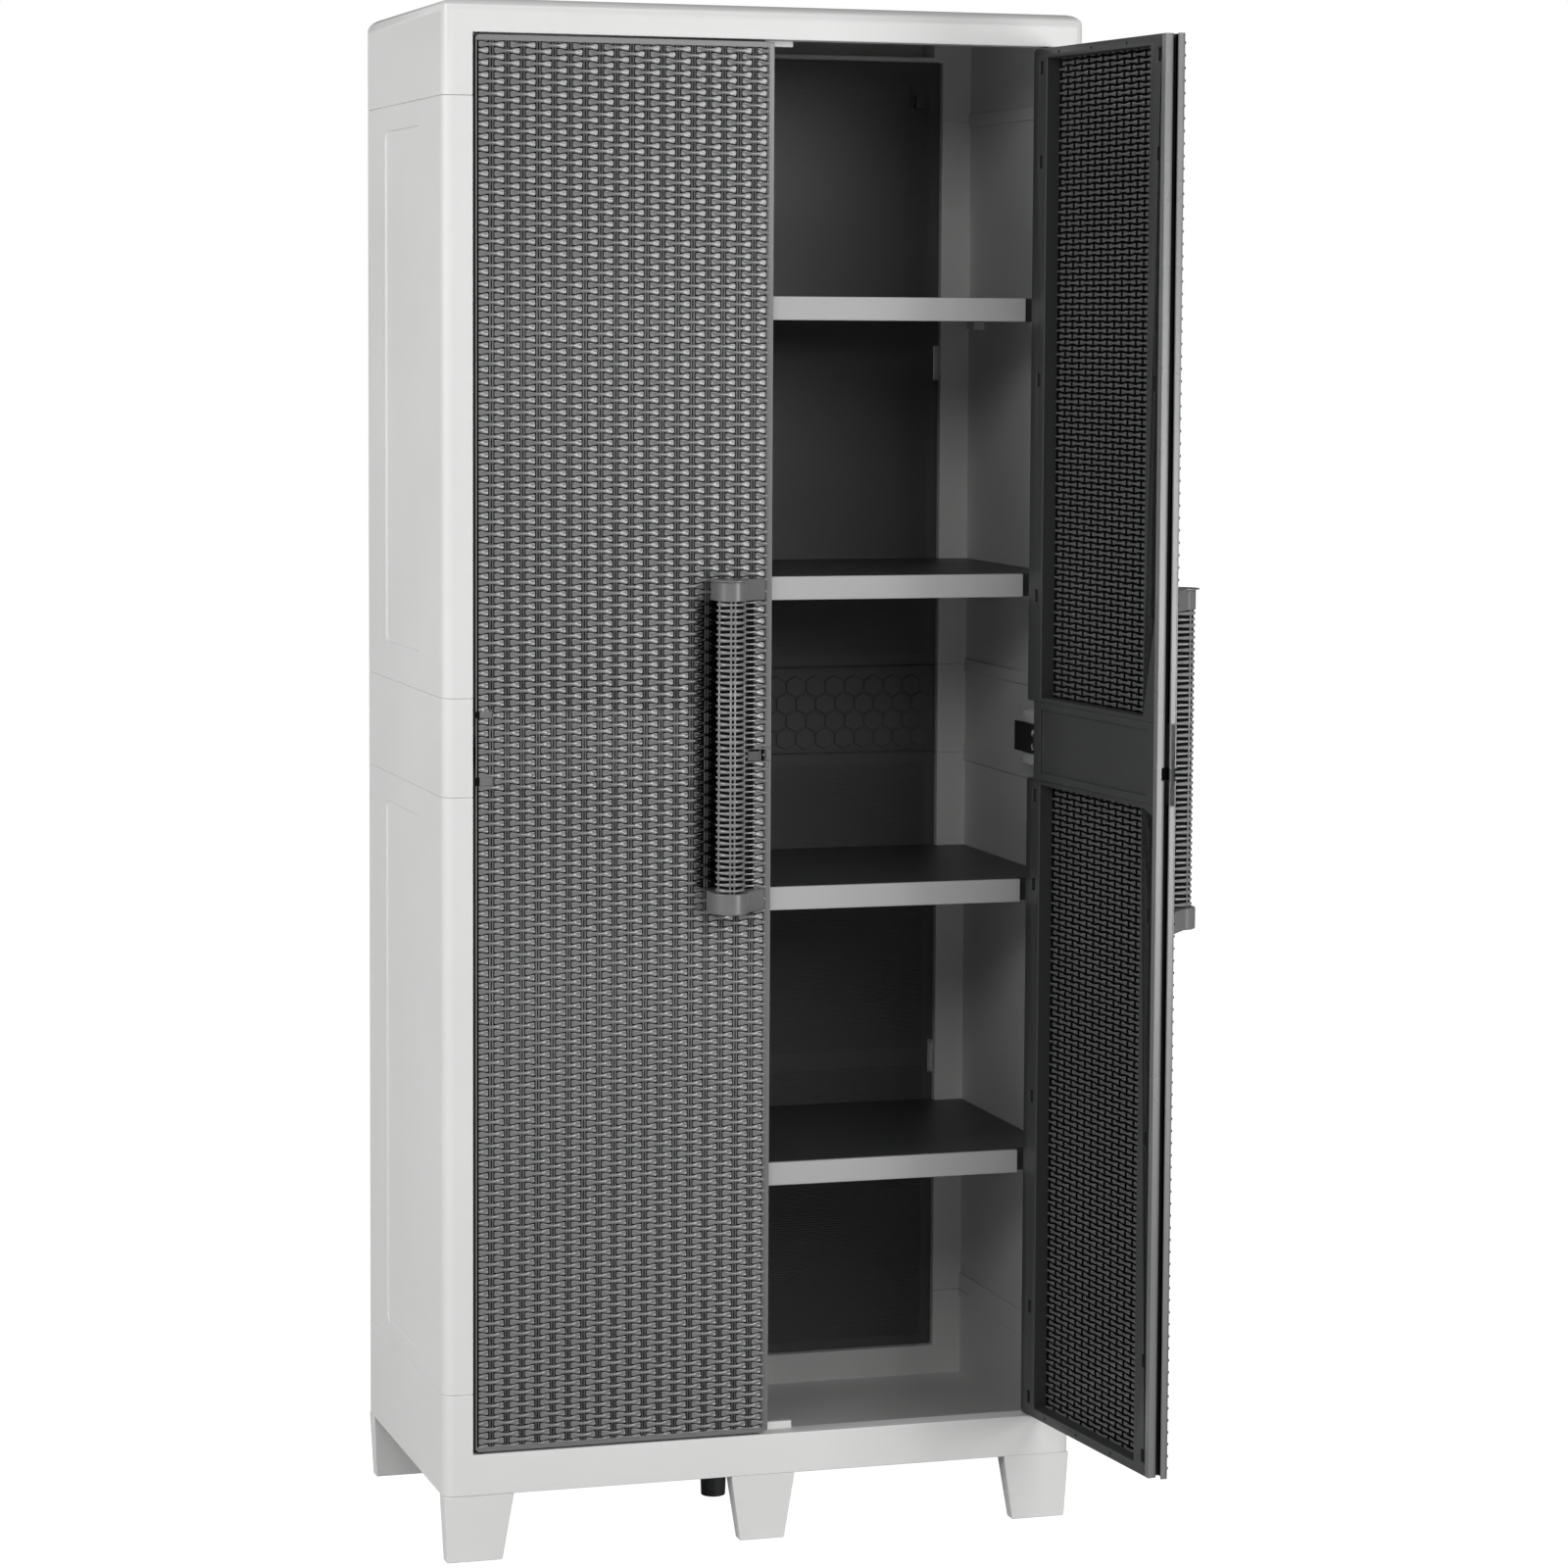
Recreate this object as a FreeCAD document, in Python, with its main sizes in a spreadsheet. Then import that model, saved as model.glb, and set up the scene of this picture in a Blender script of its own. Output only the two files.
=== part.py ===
# A tall garden storage cabinet of moulded resin, with two hinged doors, four shelves and seven feet.
# Origin: the underside of the round centre foot, on the ground. X runs to the right, Y to the back, Z up.
import FreeCAD, Part
import math
import os
import Sketcher

# Driving sizes in millimetres, and the door's angle in degrees.
SIZES = {
    # The case
    "body_width": 780.0,
    "body_depth": 440.0,
    "corner_radius": 14.0,
    "side_wall": 8.0,
    "stile_width": 35.5,
    "stile_depth": 30.0,
    "post_width": 46.0,
    "post_depth": 50.0,
    "column_wall": 6.0,
    "foot_height": 80.0,
    "base_rail_height": 48.5,
    "base_height": 120.5,
    "lower_side_height": 702.0,
    "mid_band_height": 115.0,
    "upper_side_height": 691.5,
    "roof_height": 111.0,
    "lintel_height": 39.0,
    "rear_lintel_height": 36.5,
    "roof_thickness": 6.0,
    "roof_edge_radius": 10.0,
    "seat_clearance": 0.3,
    "spigot_height": 12.0,
    "groove_wall": 2.0,
    # The laps that the inner walls make over the seams
    "lap_thickness": 2.0,
    "lap_hold": 10.0,
    "base_lap_height": 22.0,
    "lower_lap_height": 12.0,
    "band_lap_height": 6.5,
    "roof_lap_height": 7.0,
    # The recessed fields in the side panels
    "recess_depth": 2.0,
    "recess_corner": 12.0,
    "recess_from_front": 126.0,
    "recess_from_back": 116.0,
    "upper_recess_below": 46.0,
    "upper_recess_above": 30.0,
    "lower_recess_below": 20.0,
    "lower_recess_above": 35.0,
    # The floor of the base
    "floor_height": 11.0,
    "floor_pocket_depth": 6.0,
    "floor_rib": 44.0,
    "socket_width": 78.0,
    # The feet
    "foot_depth": 27.0,
    "foot_top_inset": 1.0,
    "foot_bottom_inset": 5.0,
    "corner_foot_top": 84.0,
    "corner_foot_bottom": 67.0,
    "middle_foot_top": 79.0,
    "middle_foot_bottom": 55.0,
    "foot_plug_height": 12.0,
    "foot_plug_width": 18.0,
    "centre_foot_top_radius": 18.0,
    "centre_foot_bottom_radius": 15.0,
    "centre_plug_radius": 8.0,
    "centre_plug_height": 5.0,
    # The back panels
    "back_inset": 38.0,
    "back_thickness": 14.0,
    "back_skin": 4.0,
    "back_rib": 5.0,
    "groove_depth": 4.0,
    "back_split_upper": 381.0,
    "back_split_lower": 378.0,
    "light_slot_width": 5.5,
    "light_slot_height": 44.0,
    # The shelves
    "shelf_height": 28.0,
    "shelf_plate": 5.0,
    "shelf_rib": 4.0,
    "shelf_back_gap": 2.0,
    "shelf_end_setback": 10.0,
    "trim_thickness": 6.0,
    "trim_half_length": 329.5,
    "shelf_first": 371.0,
    "shelf_second": 703.0,
    "shelf_third": 1073.0,
    "shelf_fourth": 1403.5,
    "rest_length": 30.0,
    "rest_height": 10.0,
    "rest_reach": 14.0,
    "rest_front_inset": 70.0,
    "rest_back_inset": 60.0,
    # The doors
    "door_gap": 1.5,
    "door_end_gap": 2.5,
    "meeting_gap": 2.0,
    "door_thickness": 21.0,
    "skin_thickness": 3.0,
    "skin_rim_width": 2.5,
    "skin_rim_depth": 9.0,
    "hinge_inset": 8.5,
    "right_door_angle": 95.5,
    "hinge_stile_width": 36.0,
    "free_stile_width": 47.0,
    "frame_end_rail": 12.0,
    "frame_inner_rail": 5.5,
    "middle_section_height": 93.6,
    "middle_section_drop": 4.9,
    "middle_recess_depth": 4.0,
    "middle_recess_border": 9.0,
    "hinge_cutback": 9.5,
    "strip_width": 9.0,
    "strip_thickness": 10.0,
    "lip_width": 9.0,
    "lip_thickness": 3.0,
    # Screws that hold the skins to the frames
    "pocket_width": 9.0,
    "pocket_height": 15.0,
    "pocket_depth": 12.0,
    "pocket_from_edge": 21.0,
    "pocket_from_free_edge": 24.0,
    "first_screw": 23.0,
    "second_screw": 134.0,
    "screw_pitch": 258.0,
    "last_screw": 20.0,
    "screw_head_radius": 3.4,
    "screw_head_height": 2.4,
    "screw_shank_radius": 1.6,
    "screw_shank_length": 5.0,
    "screw_clearance": 0.15,
    # Hinge pins and the middle hinge
    "hinge_pin_radius": 3.0,
    "middle_pin_radius": 2.2,
    "running_clearance": 0.05,
    "hinge_pin_in_door": 20.0,
    "hinge_pin_in_case": 12.0,
    "middle_pin_in_frame": 9.0,
    "pin_block": 12.0,
    "bracket_thickness": 5.0,
    "bracket_height": 36.0,
    "bracket_drop": 9.0,
    "bracket_length": 92.0,
    "bracket_from_axis": 9.5,
    "barrel_radius": 4.2,
    "barrel_height": 18.0,
    "arm_inset": 2.2,
    "hinge_window_height": 44.0,
    "boss_height": 66.0,
    "boss_reach": 1.0,
    "boss_length": 65.0,
    "bracket_screw_spacing": 16.0,
    "bracket_screw_from_front": 20.0,
    "bracket_screw_head": 4.0,
    # The handles
    "handle_centre": 51.8,
    "handle_radius": 17.5,
    "handle_height": 392.0,
    "handle_rise": 2.0,
    "handle_bracket_height": 25.0,
    "handle_stand": 46.0,
    "handle_wall": 4.5,
    "handle_foot_height": 12.0,
    "handle_foot_reach": 18.0,
    "finger_gap": 26.0,
    "handle_rim": 4.0,
    "handle_rim_thickness": 1.5,
    "handle_arm_gap": 2.2,
    "finger_scoop_reach": 17.0,
    "finger_scoop_depth": 2.0,
    # Padlock plates
    "padlock_width": 17.0,
    "padlock_height": 14.0,
    "padlock_drop": 11.0,
    "padlock_plate": 2.0,
    "padlock_recess": 1.0,
    "padlock_well": 14.5,
    "padlock_hole_radius": 4.0,
    # Catches and hooks
    "catch_length": 35.0,
    "catch_depth": 8.7,
    "top_catch_drop": 7.0,
    "bottom_catch_rise": 9.5,
    "top_catch_shift": 16.0,
    "bottom_catch_gap": 6.0,
    "hook_width": 17.0,
    "hook_height": 31.0,
    "hook_plate": 3.0,
    "hook_reach": 14.0,
    "hook_from_wall": 68.0,
    "hook_drop": 27.0,
}

doc = FreeCAD.newDocument("GardenStorageCabinet")
sheet = doc.addObject("Spreadsheet::Sheet", "Sizes")
for row, (alias, number) in enumerate(SIZES.items(), 1):
    sheet.set("A%d" % row, alias)
    sheet.set("B%d" % row, str(number))
    sheet.setAlias("B%d" % row, alias)
doc.recompute()


class Length:
    """A size written as a formula of the sheet's cells, with the number that it comes to."""

    def __init__(self, text, number):
        self.text = text
        self.number = number

    def joined(self, sign, other, number):
        return Length("(%s %s %s)" % (self.text, sign, other.text), number)

    def __add__(self, other):
        other = length(other)
        return self.joined("+", other, self.number + other.number)

    def __sub__(self, other):
        other = length(other)
        return self.joined("-", other, self.number - other.number)

    def __mul__(self, other):
        other = length(other)
        return self.joined("*", other, self.number * other.number)

    def __truediv__(self, other):
        other = length(other)
        return self.joined("/", other, self.number / other.number)

    def __rsub__(self, other):
        return length(other) - self

    def __neg__(self):
        return self * -1

    __radd__ = __add__
    __rmul__ = __mul__


def length(value):
    """Wrap a bare number, so that formulas can mix numbers with sizes."""
    if isinstance(value, Length):
        return value
    return Length("(%r)" % float(value), float(value))


class Sizes:
    """The driving sizes by name, each one tied to its cell."""

    def __getattr__(self, alias):
        return Length("Sizes." + alias, SIZES[alias])


S = Sizes()
nodes = []


def bind(thing, target, value):
    """Tie a property of an object to a formula of the sheet."""
    thing.setExpression(target, length(value).text)


def node(name, thing):
    """Name a finished piece."""
    thing.Label = name
    nodes.append(thing)
    return thing


def block(name, across, deep, up):
    """A plain block between two planes along each axis."""
    thing = doc.addObject("Part::Box", name)
    for side, place, (low, high) in zip(("Length", "Width", "Height"), "xyz", (across, deep, up)):
        bind(thing, side, length(high) - low)
        bind(thing, "Placement.Base." + place, low)
    return thing


def rod(name, radius, across, deep, up, tall, towards=(0, 0, 1), angle=360, turn=0):
    """A round bar from its start point along its axis; a part turn makes a sector of it."""
    thing = doc.addObject("Part::Cylinder", name)
    thing.Placement.Rotation = FreeCAD.Rotation(FreeCAD.Vector(0, 0, 1), FreeCAD.Vector(*towards))
    if turn:
        thing.Placement.Rotation = FreeCAD.Rotation(FreeCAD.Vector(0, 0, 1), turn)
    thing.Angle = angle
    bind(thing, "Radius", radius)
    bind(thing, "Height", tall)
    for place, value in zip("xyz", (across, deep, up)):
        bind(thing, "Placement.Base." + place, value)
    return thing


def wedge(name, front_across, back_across, deep, up):
    """An upright block whose width changes from its front face to its back face."""
    thing = doc.addObject("Part::Wedge", name)
    for low, high, span in (("Xmin", "Xmax", front_across), ("X2min", "X2max", back_across),
                            ("Ymin", "Ymax", deep), ("Zmin", "Zmax", up), ("Z2min", "Z2max", up)):
        bind(thing, low, span[0])
        bind(thing, high, span[1])
    return thing


def joined(name, *pieces):
    """One solid of several that touch."""
    thing = doc.addObject("Part::MultiFuse", name)
    thing.Shapes = list(pieces)
    return thing


def group(name, pieces):
    """Separate solids of one kind, kept together."""
    thing = doc.addObject("Part::Compound", name)
    thing.Links = list(pieces)
    return thing


def cut(name, base, *tools):
    """A piece with one or more shapes taken away."""
    thing = doc.addObject("Part::Cut", name)
    thing.Base = base
    thing.Tool = tools[0] if len(tools) == 1 else joined(name + "_tools", *tools)
    return thing


def sided(side, low, high):
    """A stretch along X measured from the middle plane, on the right or mirrored to the left."""
    return (length(low), length(high)) if side > 0 else (-length(high), -length(low))


def drawing(body, role, level, *loops):
    """A sketch of closed outlines on one of the body's own planes, each corner tied to the sheet."""
    sketch = body.newObject("Sketcher::SketchObject", body.Name + "_sketch")
    plane = next(part for part in body.Origin.OriginFeatures if part.Role == role)
    sketch.AttachmentSupport = [(plane, "")]
    sketch.MapMode = "FlatFace"
    bind(sketch, "AttachmentOffset.Base.z", level)
    for loop in loops:
        first = sketch.GeometryCount
        count = len(loop)
        points = [FreeCAD.Vector(length(a).number, length(b).number, 0) for a, b in loop]
        for k in range(count):
            sketch.addGeometry(Part.LineSegment(points[k], points[(k + 1) % count]), False)
        for k in range(count):
            following = first + (k + 1) % count
            sketch.addConstraint(Sketcher.Constraint("Coincident", first + k, 2, following, 1))
        for k in range(count):
            for way, value in zip(("DistanceX", "DistanceY"), loop[k]):
                value = length(value)
                rule = Sketcher.Constraint(way, -1, 1, first + k, 1, value.number)
                number = sketch.addConstraint(rule)
                sketch.setExpression("Constraints[%d]" % number, value.text)
    return sketch


def rectangle(across, along):
    """The four corners of a rectangle."""
    return [(across[0], along[0]), (across[1], along[0]), (across[1], along[1]), (across[0], along[1])]


def padded(body, sketch, tall):
    """Raise a sketch into a solid."""
    pad = body.newObject("PartDesign::Pad", body.Name + "_pad")
    pad.Profile = sketch
    bind(pad, "Length", tall)
    doc.recompute()
    return pad


def filleted(body, base, radius, wanted):
    """Round those edges of a feature that the test picks."""
    names = ["Edge%d" % (k + 1) for k, edge in enumerate(base.Shape.Edges) if wanted(edge)]
    fillet = body.newObject("PartDesign::Fillet", body.Name + "_fillet")
    fillet.Base = (base, names)
    bind(fillet, "Radius", radius)
    doc.recompute()
    return fillet


def upright_at(*corners):
    """A test for upright edges that stand at given corners."""
    places = [(length(a).number, length(b).number) for a, b in corners]

    def wanted(edge):
        start, end = edge.Vertexes[0].Point, edge.Vertexes[-1].Point
        upright = math.hypot(start.x - end.x, start.y - end.y) < 0.01
        return upright and any(math.hypot(start.x - a, start.y - b) < 0.01 for a, b in places)

    return wanted


def rounded_block(name, across, deep, up, radius):
    """A block with rounded upright edges."""
    body = doc.addObject("PartDesign::Body", name)
    pad = padded(body, drawing(body, "XY_Plane", up[0], rectangle(across, deep)), length(up[1]) - up[0])
    filleted(body, pad, radius, upright_at(*[(a, b) for a in across for b in deep]))
    return body


# Levels, from the ground up
base_bottom = S.foot_height
rail_top = base_bottom + S.base_rail_height
floor_top = base_bottom + S.floor_height
side_bottom = base_bottom + S.base_height
band_bottom = side_bottom + S.lower_side_height
band_top = band_bottom + S.mid_band_height
roof_bottom = band_top + S.upper_side_height
roof_top = roof_bottom + S.roof_height
lintel_bottom = roof_top - S.lintel_height
rear_lintel_bottom = roof_top - S.rear_lintel_height

# Planes of the case
half_width = S.body_width / 2
front = -S.body_depth / 2
back = S.body_depth / 2
inner_wall = half_width - S.side_wall
opening_half = half_width - S.stile_width
stile_back = front + S.stile_depth
post_front = back - S.post_depth
post_inner = half_width - S.post_width
back_front = back - S.back_inset
back_rear = back_front + S.back_thickness
groove_end = post_inner + S.groove_depth

# Hinge axes and the extent of a door, in the door's own frame with its hinge axis as Z
hinge_x = opening_half - S.door_gap - S.hinge_inset
hinge_y = front + S.hinge_inset
door_free = hinge_x - S.meeting_gap / 2
door_front = -S.hinge_inset
skin_back = door_front + S.skin_thickness
door_back = door_front + S.door_thickness
door_bottom = rail_top + S.door_end_gap
door_top = lintel_bottom - S.door_end_gap
section_middle = (band_bottom + band_top) / 2 - S.middle_section_drop
section_bottom = section_middle - S.middle_section_height / 2
section_top = section_middle + S.middle_section_height / 2
bracket_middle = (band_bottom + band_top) / 2 - S.bracket_drop


def column_hollows(side, low, high, name):
    """The hollows of the front stile and of the rear post."""
    wall = S.column_wall
    stile = sided(side, opening_half + wall, half_width - wall)
    post = sided(side, groove_end + S.groove_wall, half_width - wall)
    return [block(name + "_stile_hollow", stile, (front + wall, stile_back - wall), (low, high)),
            block(name + "_post_hollow", post, (post_front + wall, back - wall), (low, high))]


def spigots(side, low, high, name):
    """Plugs that seat in the hollows of a side panel."""
    wall = S.column_wall + S.seat_clearance
    stile = sided(side, opening_half + wall, half_width - wall)
    post = sided(side, groove_end + S.groove_wall + S.seat_clearance, half_width - wall)
    return [block(name + "_stile_spigot", stile, (front + wall, stile_back - wall), (low, high)),
            block(name + "_post_spigot", post, (post_front + wall, back - wall), (low, high))]


def lap(side, low, high, name):
    """The thin lap of an inner wall over a seam."""
    across = sided(side, inner_wall - S.lap_thickness, inner_wall)
    return block(name + "_lap", across, (stile_back, post_front), (low, high))


def side_outline(side):
    """The plan of a side: front stile, wall, and rear post with its groove for the back panels."""
    gap = S.seat_clearance
    corners = [(opening_half, front), (half_width, front), (half_width, back), (post_inner, back),
               (post_inner, back_rear + gap), (groove_end, back_rear + gap),
               (groove_end, back_front - gap), (post_inner, back_front - gap),
               (post_inner, post_front), (inner_wall, post_front),
               (inner_wall, stile_back), (opening_half, stile_back)]
    return [(across * side, deep) for across, deep in corners]


def side_body(name, side, low, high):
    """A side's plan raised between two levels, with its two outer corners rounded."""
    body = doc.addObject("PartDesign::Body", name)
    pad = padded(body, drawing(body, "XY_Plane", low, side_outline(side)), high - low)
    corners = upright_at((half_width * side, front), (half_width * side, back))
    return body, filleted(body, pad, S.corner_radius, corners)


def side_panel(name, side, low, high, recess_low, recess_high):
    """A side panel with the recessed field of its outer face."""
    body, shell = side_body(name + "_body", side, low, high)
    deep = (front + S.recess_from_front, back - S.recess_from_back)
    sketch = drawing(body, "YZ_Plane", half_width * side, rectangle(deep, (recess_low, recess_high)))
    pocket = body.newObject("PartDesign::Pocket", name + "_recess")
    pocket.Profile = sketch
    pocket.Reversed = side < 0
    bind(pocket, "Length", S.recess_depth)
    doc.recompute()
    assert pocket.Shape.Volume < shell.Shape.Volume - 1
    ends = [(a.number, b.number) for a in deep for b in (length(recess_low), length(recess_high))]

    def at_corner(edge):
        start, end = edge.Vertexes[0].Point, edge.Vertexes[-1].Point
        across = math.hypot(start.y - end.y, start.z - end.z) < 0.01
        return across and any(math.hypot(start.y - a, start.z - b) < 0.01 for a, b in ends)

    filleted(body, pocket, S.recess_corner, at_corner)
    return body


# Upper and lower side panels and the mid bands between them
for side, word in ((-1, "left"), (1, "right")):
    upper = side_panel("upper_%s" % word, side, band_top, roof_bottom,
                       band_top + S.upper_recess_below, roof_bottom - S.upper_recess_above)
    node("upper_%s_side" % word, cut("upper_%s_shell" % word, upper,
                                     *column_hollows(side, band_top, roof_bottom, "upper_" + word)))
    lower = side_panel("lower_%s" % word, side, side_bottom, band_bottom,
                       side_bottom + S.lower_recess_below, band_bottom - S.lower_recess_above)
    lower = cut("lower_%s_shell" % word, lower,
                *column_hollows(side, side_bottom, band_bottom, "lower_" + word))
    lower_lap = lap(side, band_bottom - S.lap_hold, band_bottom + S.lower_lap_height, "lower_" + word)
    node("lower_%s_side" % word, joined("lower_%s_lapped" % word, lower, lower_lap))

    band = side_body("%s_band_body" % word, side, band_bottom, band_top)[0]
    boss_face = opening_half - S.boss_reach
    boss_deep = (stile_back, stile_back + S.boss_length)
    boss_low = bracket_middle - S.boss_height / 2
    boss = block("%s_hinge_boss" % word, sided(side, boss_face, inner_wall), boss_deep,
                 (boss_low, boss_low + S.boss_height))
    band = joined("%s_band_whole" % word, band, boss,
                  lap(side, band_top - S.lap_hold, band_top + S.band_lap_height, word + "_band"),
                  *spigots(side, band_top, band_top + S.spigot_height, word + "_band_top"),
                  *spigots(side, band_bottom - S.spigot_height, band_bottom, word + "_band_bottom"))
    screw_y = hinge_y + S.bracket_from_axis + S.bracket_screw_from_front
    holes = []
    for step in (-0.5, 0.5):
        level = bracket_middle + S.bracket_screw_spacing * step
        holes.append(rod("%s_boss_hole" % word, S.screw_shank_radius + S.screw_clearance,
                         boss_face * side, screw_y, level, S.screw_shank_length * 2, (side, 0, 0)))
    node("%s_mid_band" % word, cut("%s_band_drilled" % word, band, *holes))


# The base: columns, front and rear rail, floor, sockets for the feet and seats for the lower hinge pins
base = rounded_block("base_block", (-half_width, half_width), (front, back), (base_bottom, side_bottom),
                     S.corner_radius)
wall = S.column_wall
pin_clear = S.hinge_pin_radius + S.running_clearance
rail_hollow_end = hinge_x - S.pin_block
base_cuts = [
    block("base_inside", (-inner_wall, inner_wall), (stile_back, post_front), (floor_top, side_bottom)),
    block("base_front_gap", (-opening_half, opening_half), (front, stile_back), (rail_top, side_bottom)),
    block("base_back_gap", (-post_inner, post_inner), (post_front, back), (rail_top, side_bottom)),
]
for side, word in ((-1, "left"), (1, "right")):
    base_cuts += column_hollows(side, base_bottom, side_bottom - wall, "base_" + word)
    base_cuts.append(block("base_groove", sided(side, post_inner, groove_end),
                           (back_front - S.seat_clearance, back_rear + S.seat_clearance),
                           (rail_top, side_bottom)))
    base_cuts.append(rod("base_pin_seat", pin_clear, hinge_x * side, hinge_y,
                         rail_top - S.hinge_pin_in_case, S.hinge_pin_in_case))
    for deep in ((front + wall, stile_back - wall), (post_front + wall, back - wall)):
        base_cuts.append(block("rail_hollow", sided(side, S.socket_width / 2 + wall, rail_hollow_end),
                               deep, (base_bottom, rail_top - wall)))
    pocket_width = (inner_wall - wall * 2 - S.floor_rib / 2) / 2
    for deep in ((stile_back + wall, -S.floor_rib / 2), (S.floor_rib / 2, post_front - wall)):
        for start in (S.floor_rib / 2, inner_wall - wall - pocket_width):
            base_cuts.append(block("floor_pocket", sided(side, start, start + pocket_width), deep,
                                   (base_bottom, base_bottom + S.floor_pocket_depth)))
for deep in ((front + wall, stile_back - wall), (post_front + wall, back - wall)):
    base_cuts.append(block("middle_socket", (-S.socket_width / 2, S.socket_width / 2), deep,
                           (base_bottom, rail_top - wall)))
base_cuts.append(rod("centre_socket", S.centre_plug_radius + S.seat_clearance, 0, 0, base_bottom,
                     S.centre_plug_height + S.seat_clearance))
base = cut("base_hollowed", base, *base_cuts)
base_parts = [base]
for side, word in ((-1, "left"), (1, "right")):
    base_parts += spigots(side, side_bottom, side_bottom + S.spigot_height, "base_" + word)
    base_parts.append(lap(side, side_bottom - S.lap_hold, side_bottom + S.base_lap_height,
                          "base_" + word))
node("base_tray", joined("base_whole", *base_parts))


# The roof cap: lintels, columns and seats for the upper hinge pins
roof_body = doc.addObject("PartDesign::Body", "roof_block")
roof_plan = rectangle((-half_width, half_width), (front, back))
roof_pad = padded(roof_body, drawing(roof_body, "XY_Plane", roof_bottom, roof_plan), S.roof_height)
roof_corners = [(a, b) for a in (-half_width, half_width) for b in (front, back)]
roof_shell = filleted(roof_body, roof_pad, S.corner_radius, upright_at(*roof_corners))
filleted(roof_body, roof_shell, S.roof_edge_radius,
         lambda edge: all(abs(v.Point.z - roof_top.number) < 0.01 for v in edge.Vertexes))
ceiling = roof_top - S.roof_thickness
roof_cuts = [
    block("roof_inside", (-inner_wall, inner_wall), (stile_back, post_front), (roof_bottom, ceiling)),
    block("roof_front_gap", (-opening_half, opening_half), (front, stile_back),
          (roof_bottom, lintel_bottom)),
    block("roof_back_gap", (-post_inner, post_inner), (post_front, back),
          (roof_bottom, rear_lintel_bottom)),
    block("lintel_hollow", (-rail_hollow_end, rail_hollow_end), (front + wall, stile_back),
          (lintel_bottom + wall, ceiling)),
    block("rear_lintel_hollow", (-rail_hollow_end, rail_hollow_end), (post_front, back - wall),
          (rear_lintel_bottom + wall, ceiling)),
]
for side, word in ((-1, "left"), (1, "right")):
    roof_cuts += column_hollows(side, roof_bottom + wall, lintel_bottom - wall, "roof_" + word)
    roof_cuts.append(block("roof_groove", sided(side, post_inner, groove_end),
                           (back_front - S.seat_clearance, back_rear + S.seat_clearance),
                           (roof_bottom, rear_lintel_bottom)))
    roof_cuts.append(rod("roof_pin_seat", pin_clear, hinge_x * side, hinge_y, lintel_bottom,
                         S.hinge_pin_in_case))
roof = cut("roof_hollowed", roof_body, *roof_cuts)
roof_parts = [roof]
for side, word in ((-1, "left"), (1, "right")):
    roof_parts += spigots(side, roof_bottom - S.spigot_height, roof_bottom, "roof_" + word)
    roof_parts.append(lap(side, roof_bottom - S.roof_lap_height, roof_bottom + S.lap_hold,
                          "roof_" + word))
node("roof_cap", joined("roof_whole", *roof_parts))


# The feet: tapered, each with a plug that seats in the hollows of the base
def tapered_foot(name, top, bottom, top_deep, bottom_deep, plug_across, plug_deep):
    """A foot that narrows downwards, given by its top, its bottom and its plug."""
    body = doc.addObject("PartDesign::Body", name + "_body")
    upper = drawing(body, "XY_Plane", S.foot_height, rectangle(top, top_deep))
    lower = drawing(body, "XY_Plane", 0, rectangle(bottom, bottom_deep))
    loft = body.newObject("PartDesign::AdditiveLoft", name + "_loft")
    loft.Profile = lower
    loft.Sections = [upper]
    loft.Ruled = True
    plug = block(name + "_plug", plug_across, plug_deep,
                 (S.foot_height, S.foot_height + S.foot_plug_height))
    node(name, joined(name + "_whole", body, plug))


plug_inset = S.column_wall + S.seat_clearance
foot_span = S.foot_depth + S.foot_top_inset * 2
insets = (S.foot_top_inset, S.foot_bottom_inset)
foot_rows = {
    "front": [(front + inset, front + foot_span - inset) for inset in insets],
    "rear": [(back - foot_span + inset, back - inset) for inset in insets],
}
plug_rows = {
    "front": (front + plug_inset, stile_back - plug_inset),
    "rear": (back - S.foot_depth, back - plug_inset),
}
for place in ("front", "rear"):
    plug_deep = plug_rows[place]
    for side, word in ((-1, "left"), (1, "right")):
        top_outer = half_width - S.foot_top_inset
        bottom_outer = half_width - S.foot_bottom_inset
        plug_outer = half_width - plug_inset
        tapered_foot("%s_%s_foot" % (place, word),
                     sided(side, top_outer - S.corner_foot_top, top_outer),
                     sided(side, bottom_outer - S.corner_foot_bottom, bottom_outer),
                     *foot_rows[place],
                     sided(side, plug_outer - S.foot_plug_width, plug_outer), plug_deep)
    tapered_foot("%s_middle_foot" % place,
                 (-S.middle_foot_top / 2, S.middle_foot_top / 2),
                 (-S.middle_foot_bottom / 2, S.middle_foot_bottom / 2),
                 *foot_rows[place],
                 (-S.foot_plug_width / 2, S.foot_plug_width / 2), plug_deep)

centre_foot = doc.addObject("Part::Cone", "centre_foot_cone")
bind(centre_foot, "Radius1", S.centre_foot_bottom_radius)
bind(centre_foot, "Radius2", S.centre_foot_top_radius)
bind(centre_foot, "Height", S.foot_height)
centre_plug = rod("centre_foot_plug", S.centre_plug_radius, 0, 0, S.foot_height, S.centre_plug_height)
node("centre_foot", joined("centre_foot_whole", centre_foot, centre_plug))


# The back: four dark panels and a narrow one, each let into the grooves of the posts and ribbed behind
BACK_COLUMNS = 4
BACK_ROWS = 3


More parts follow.
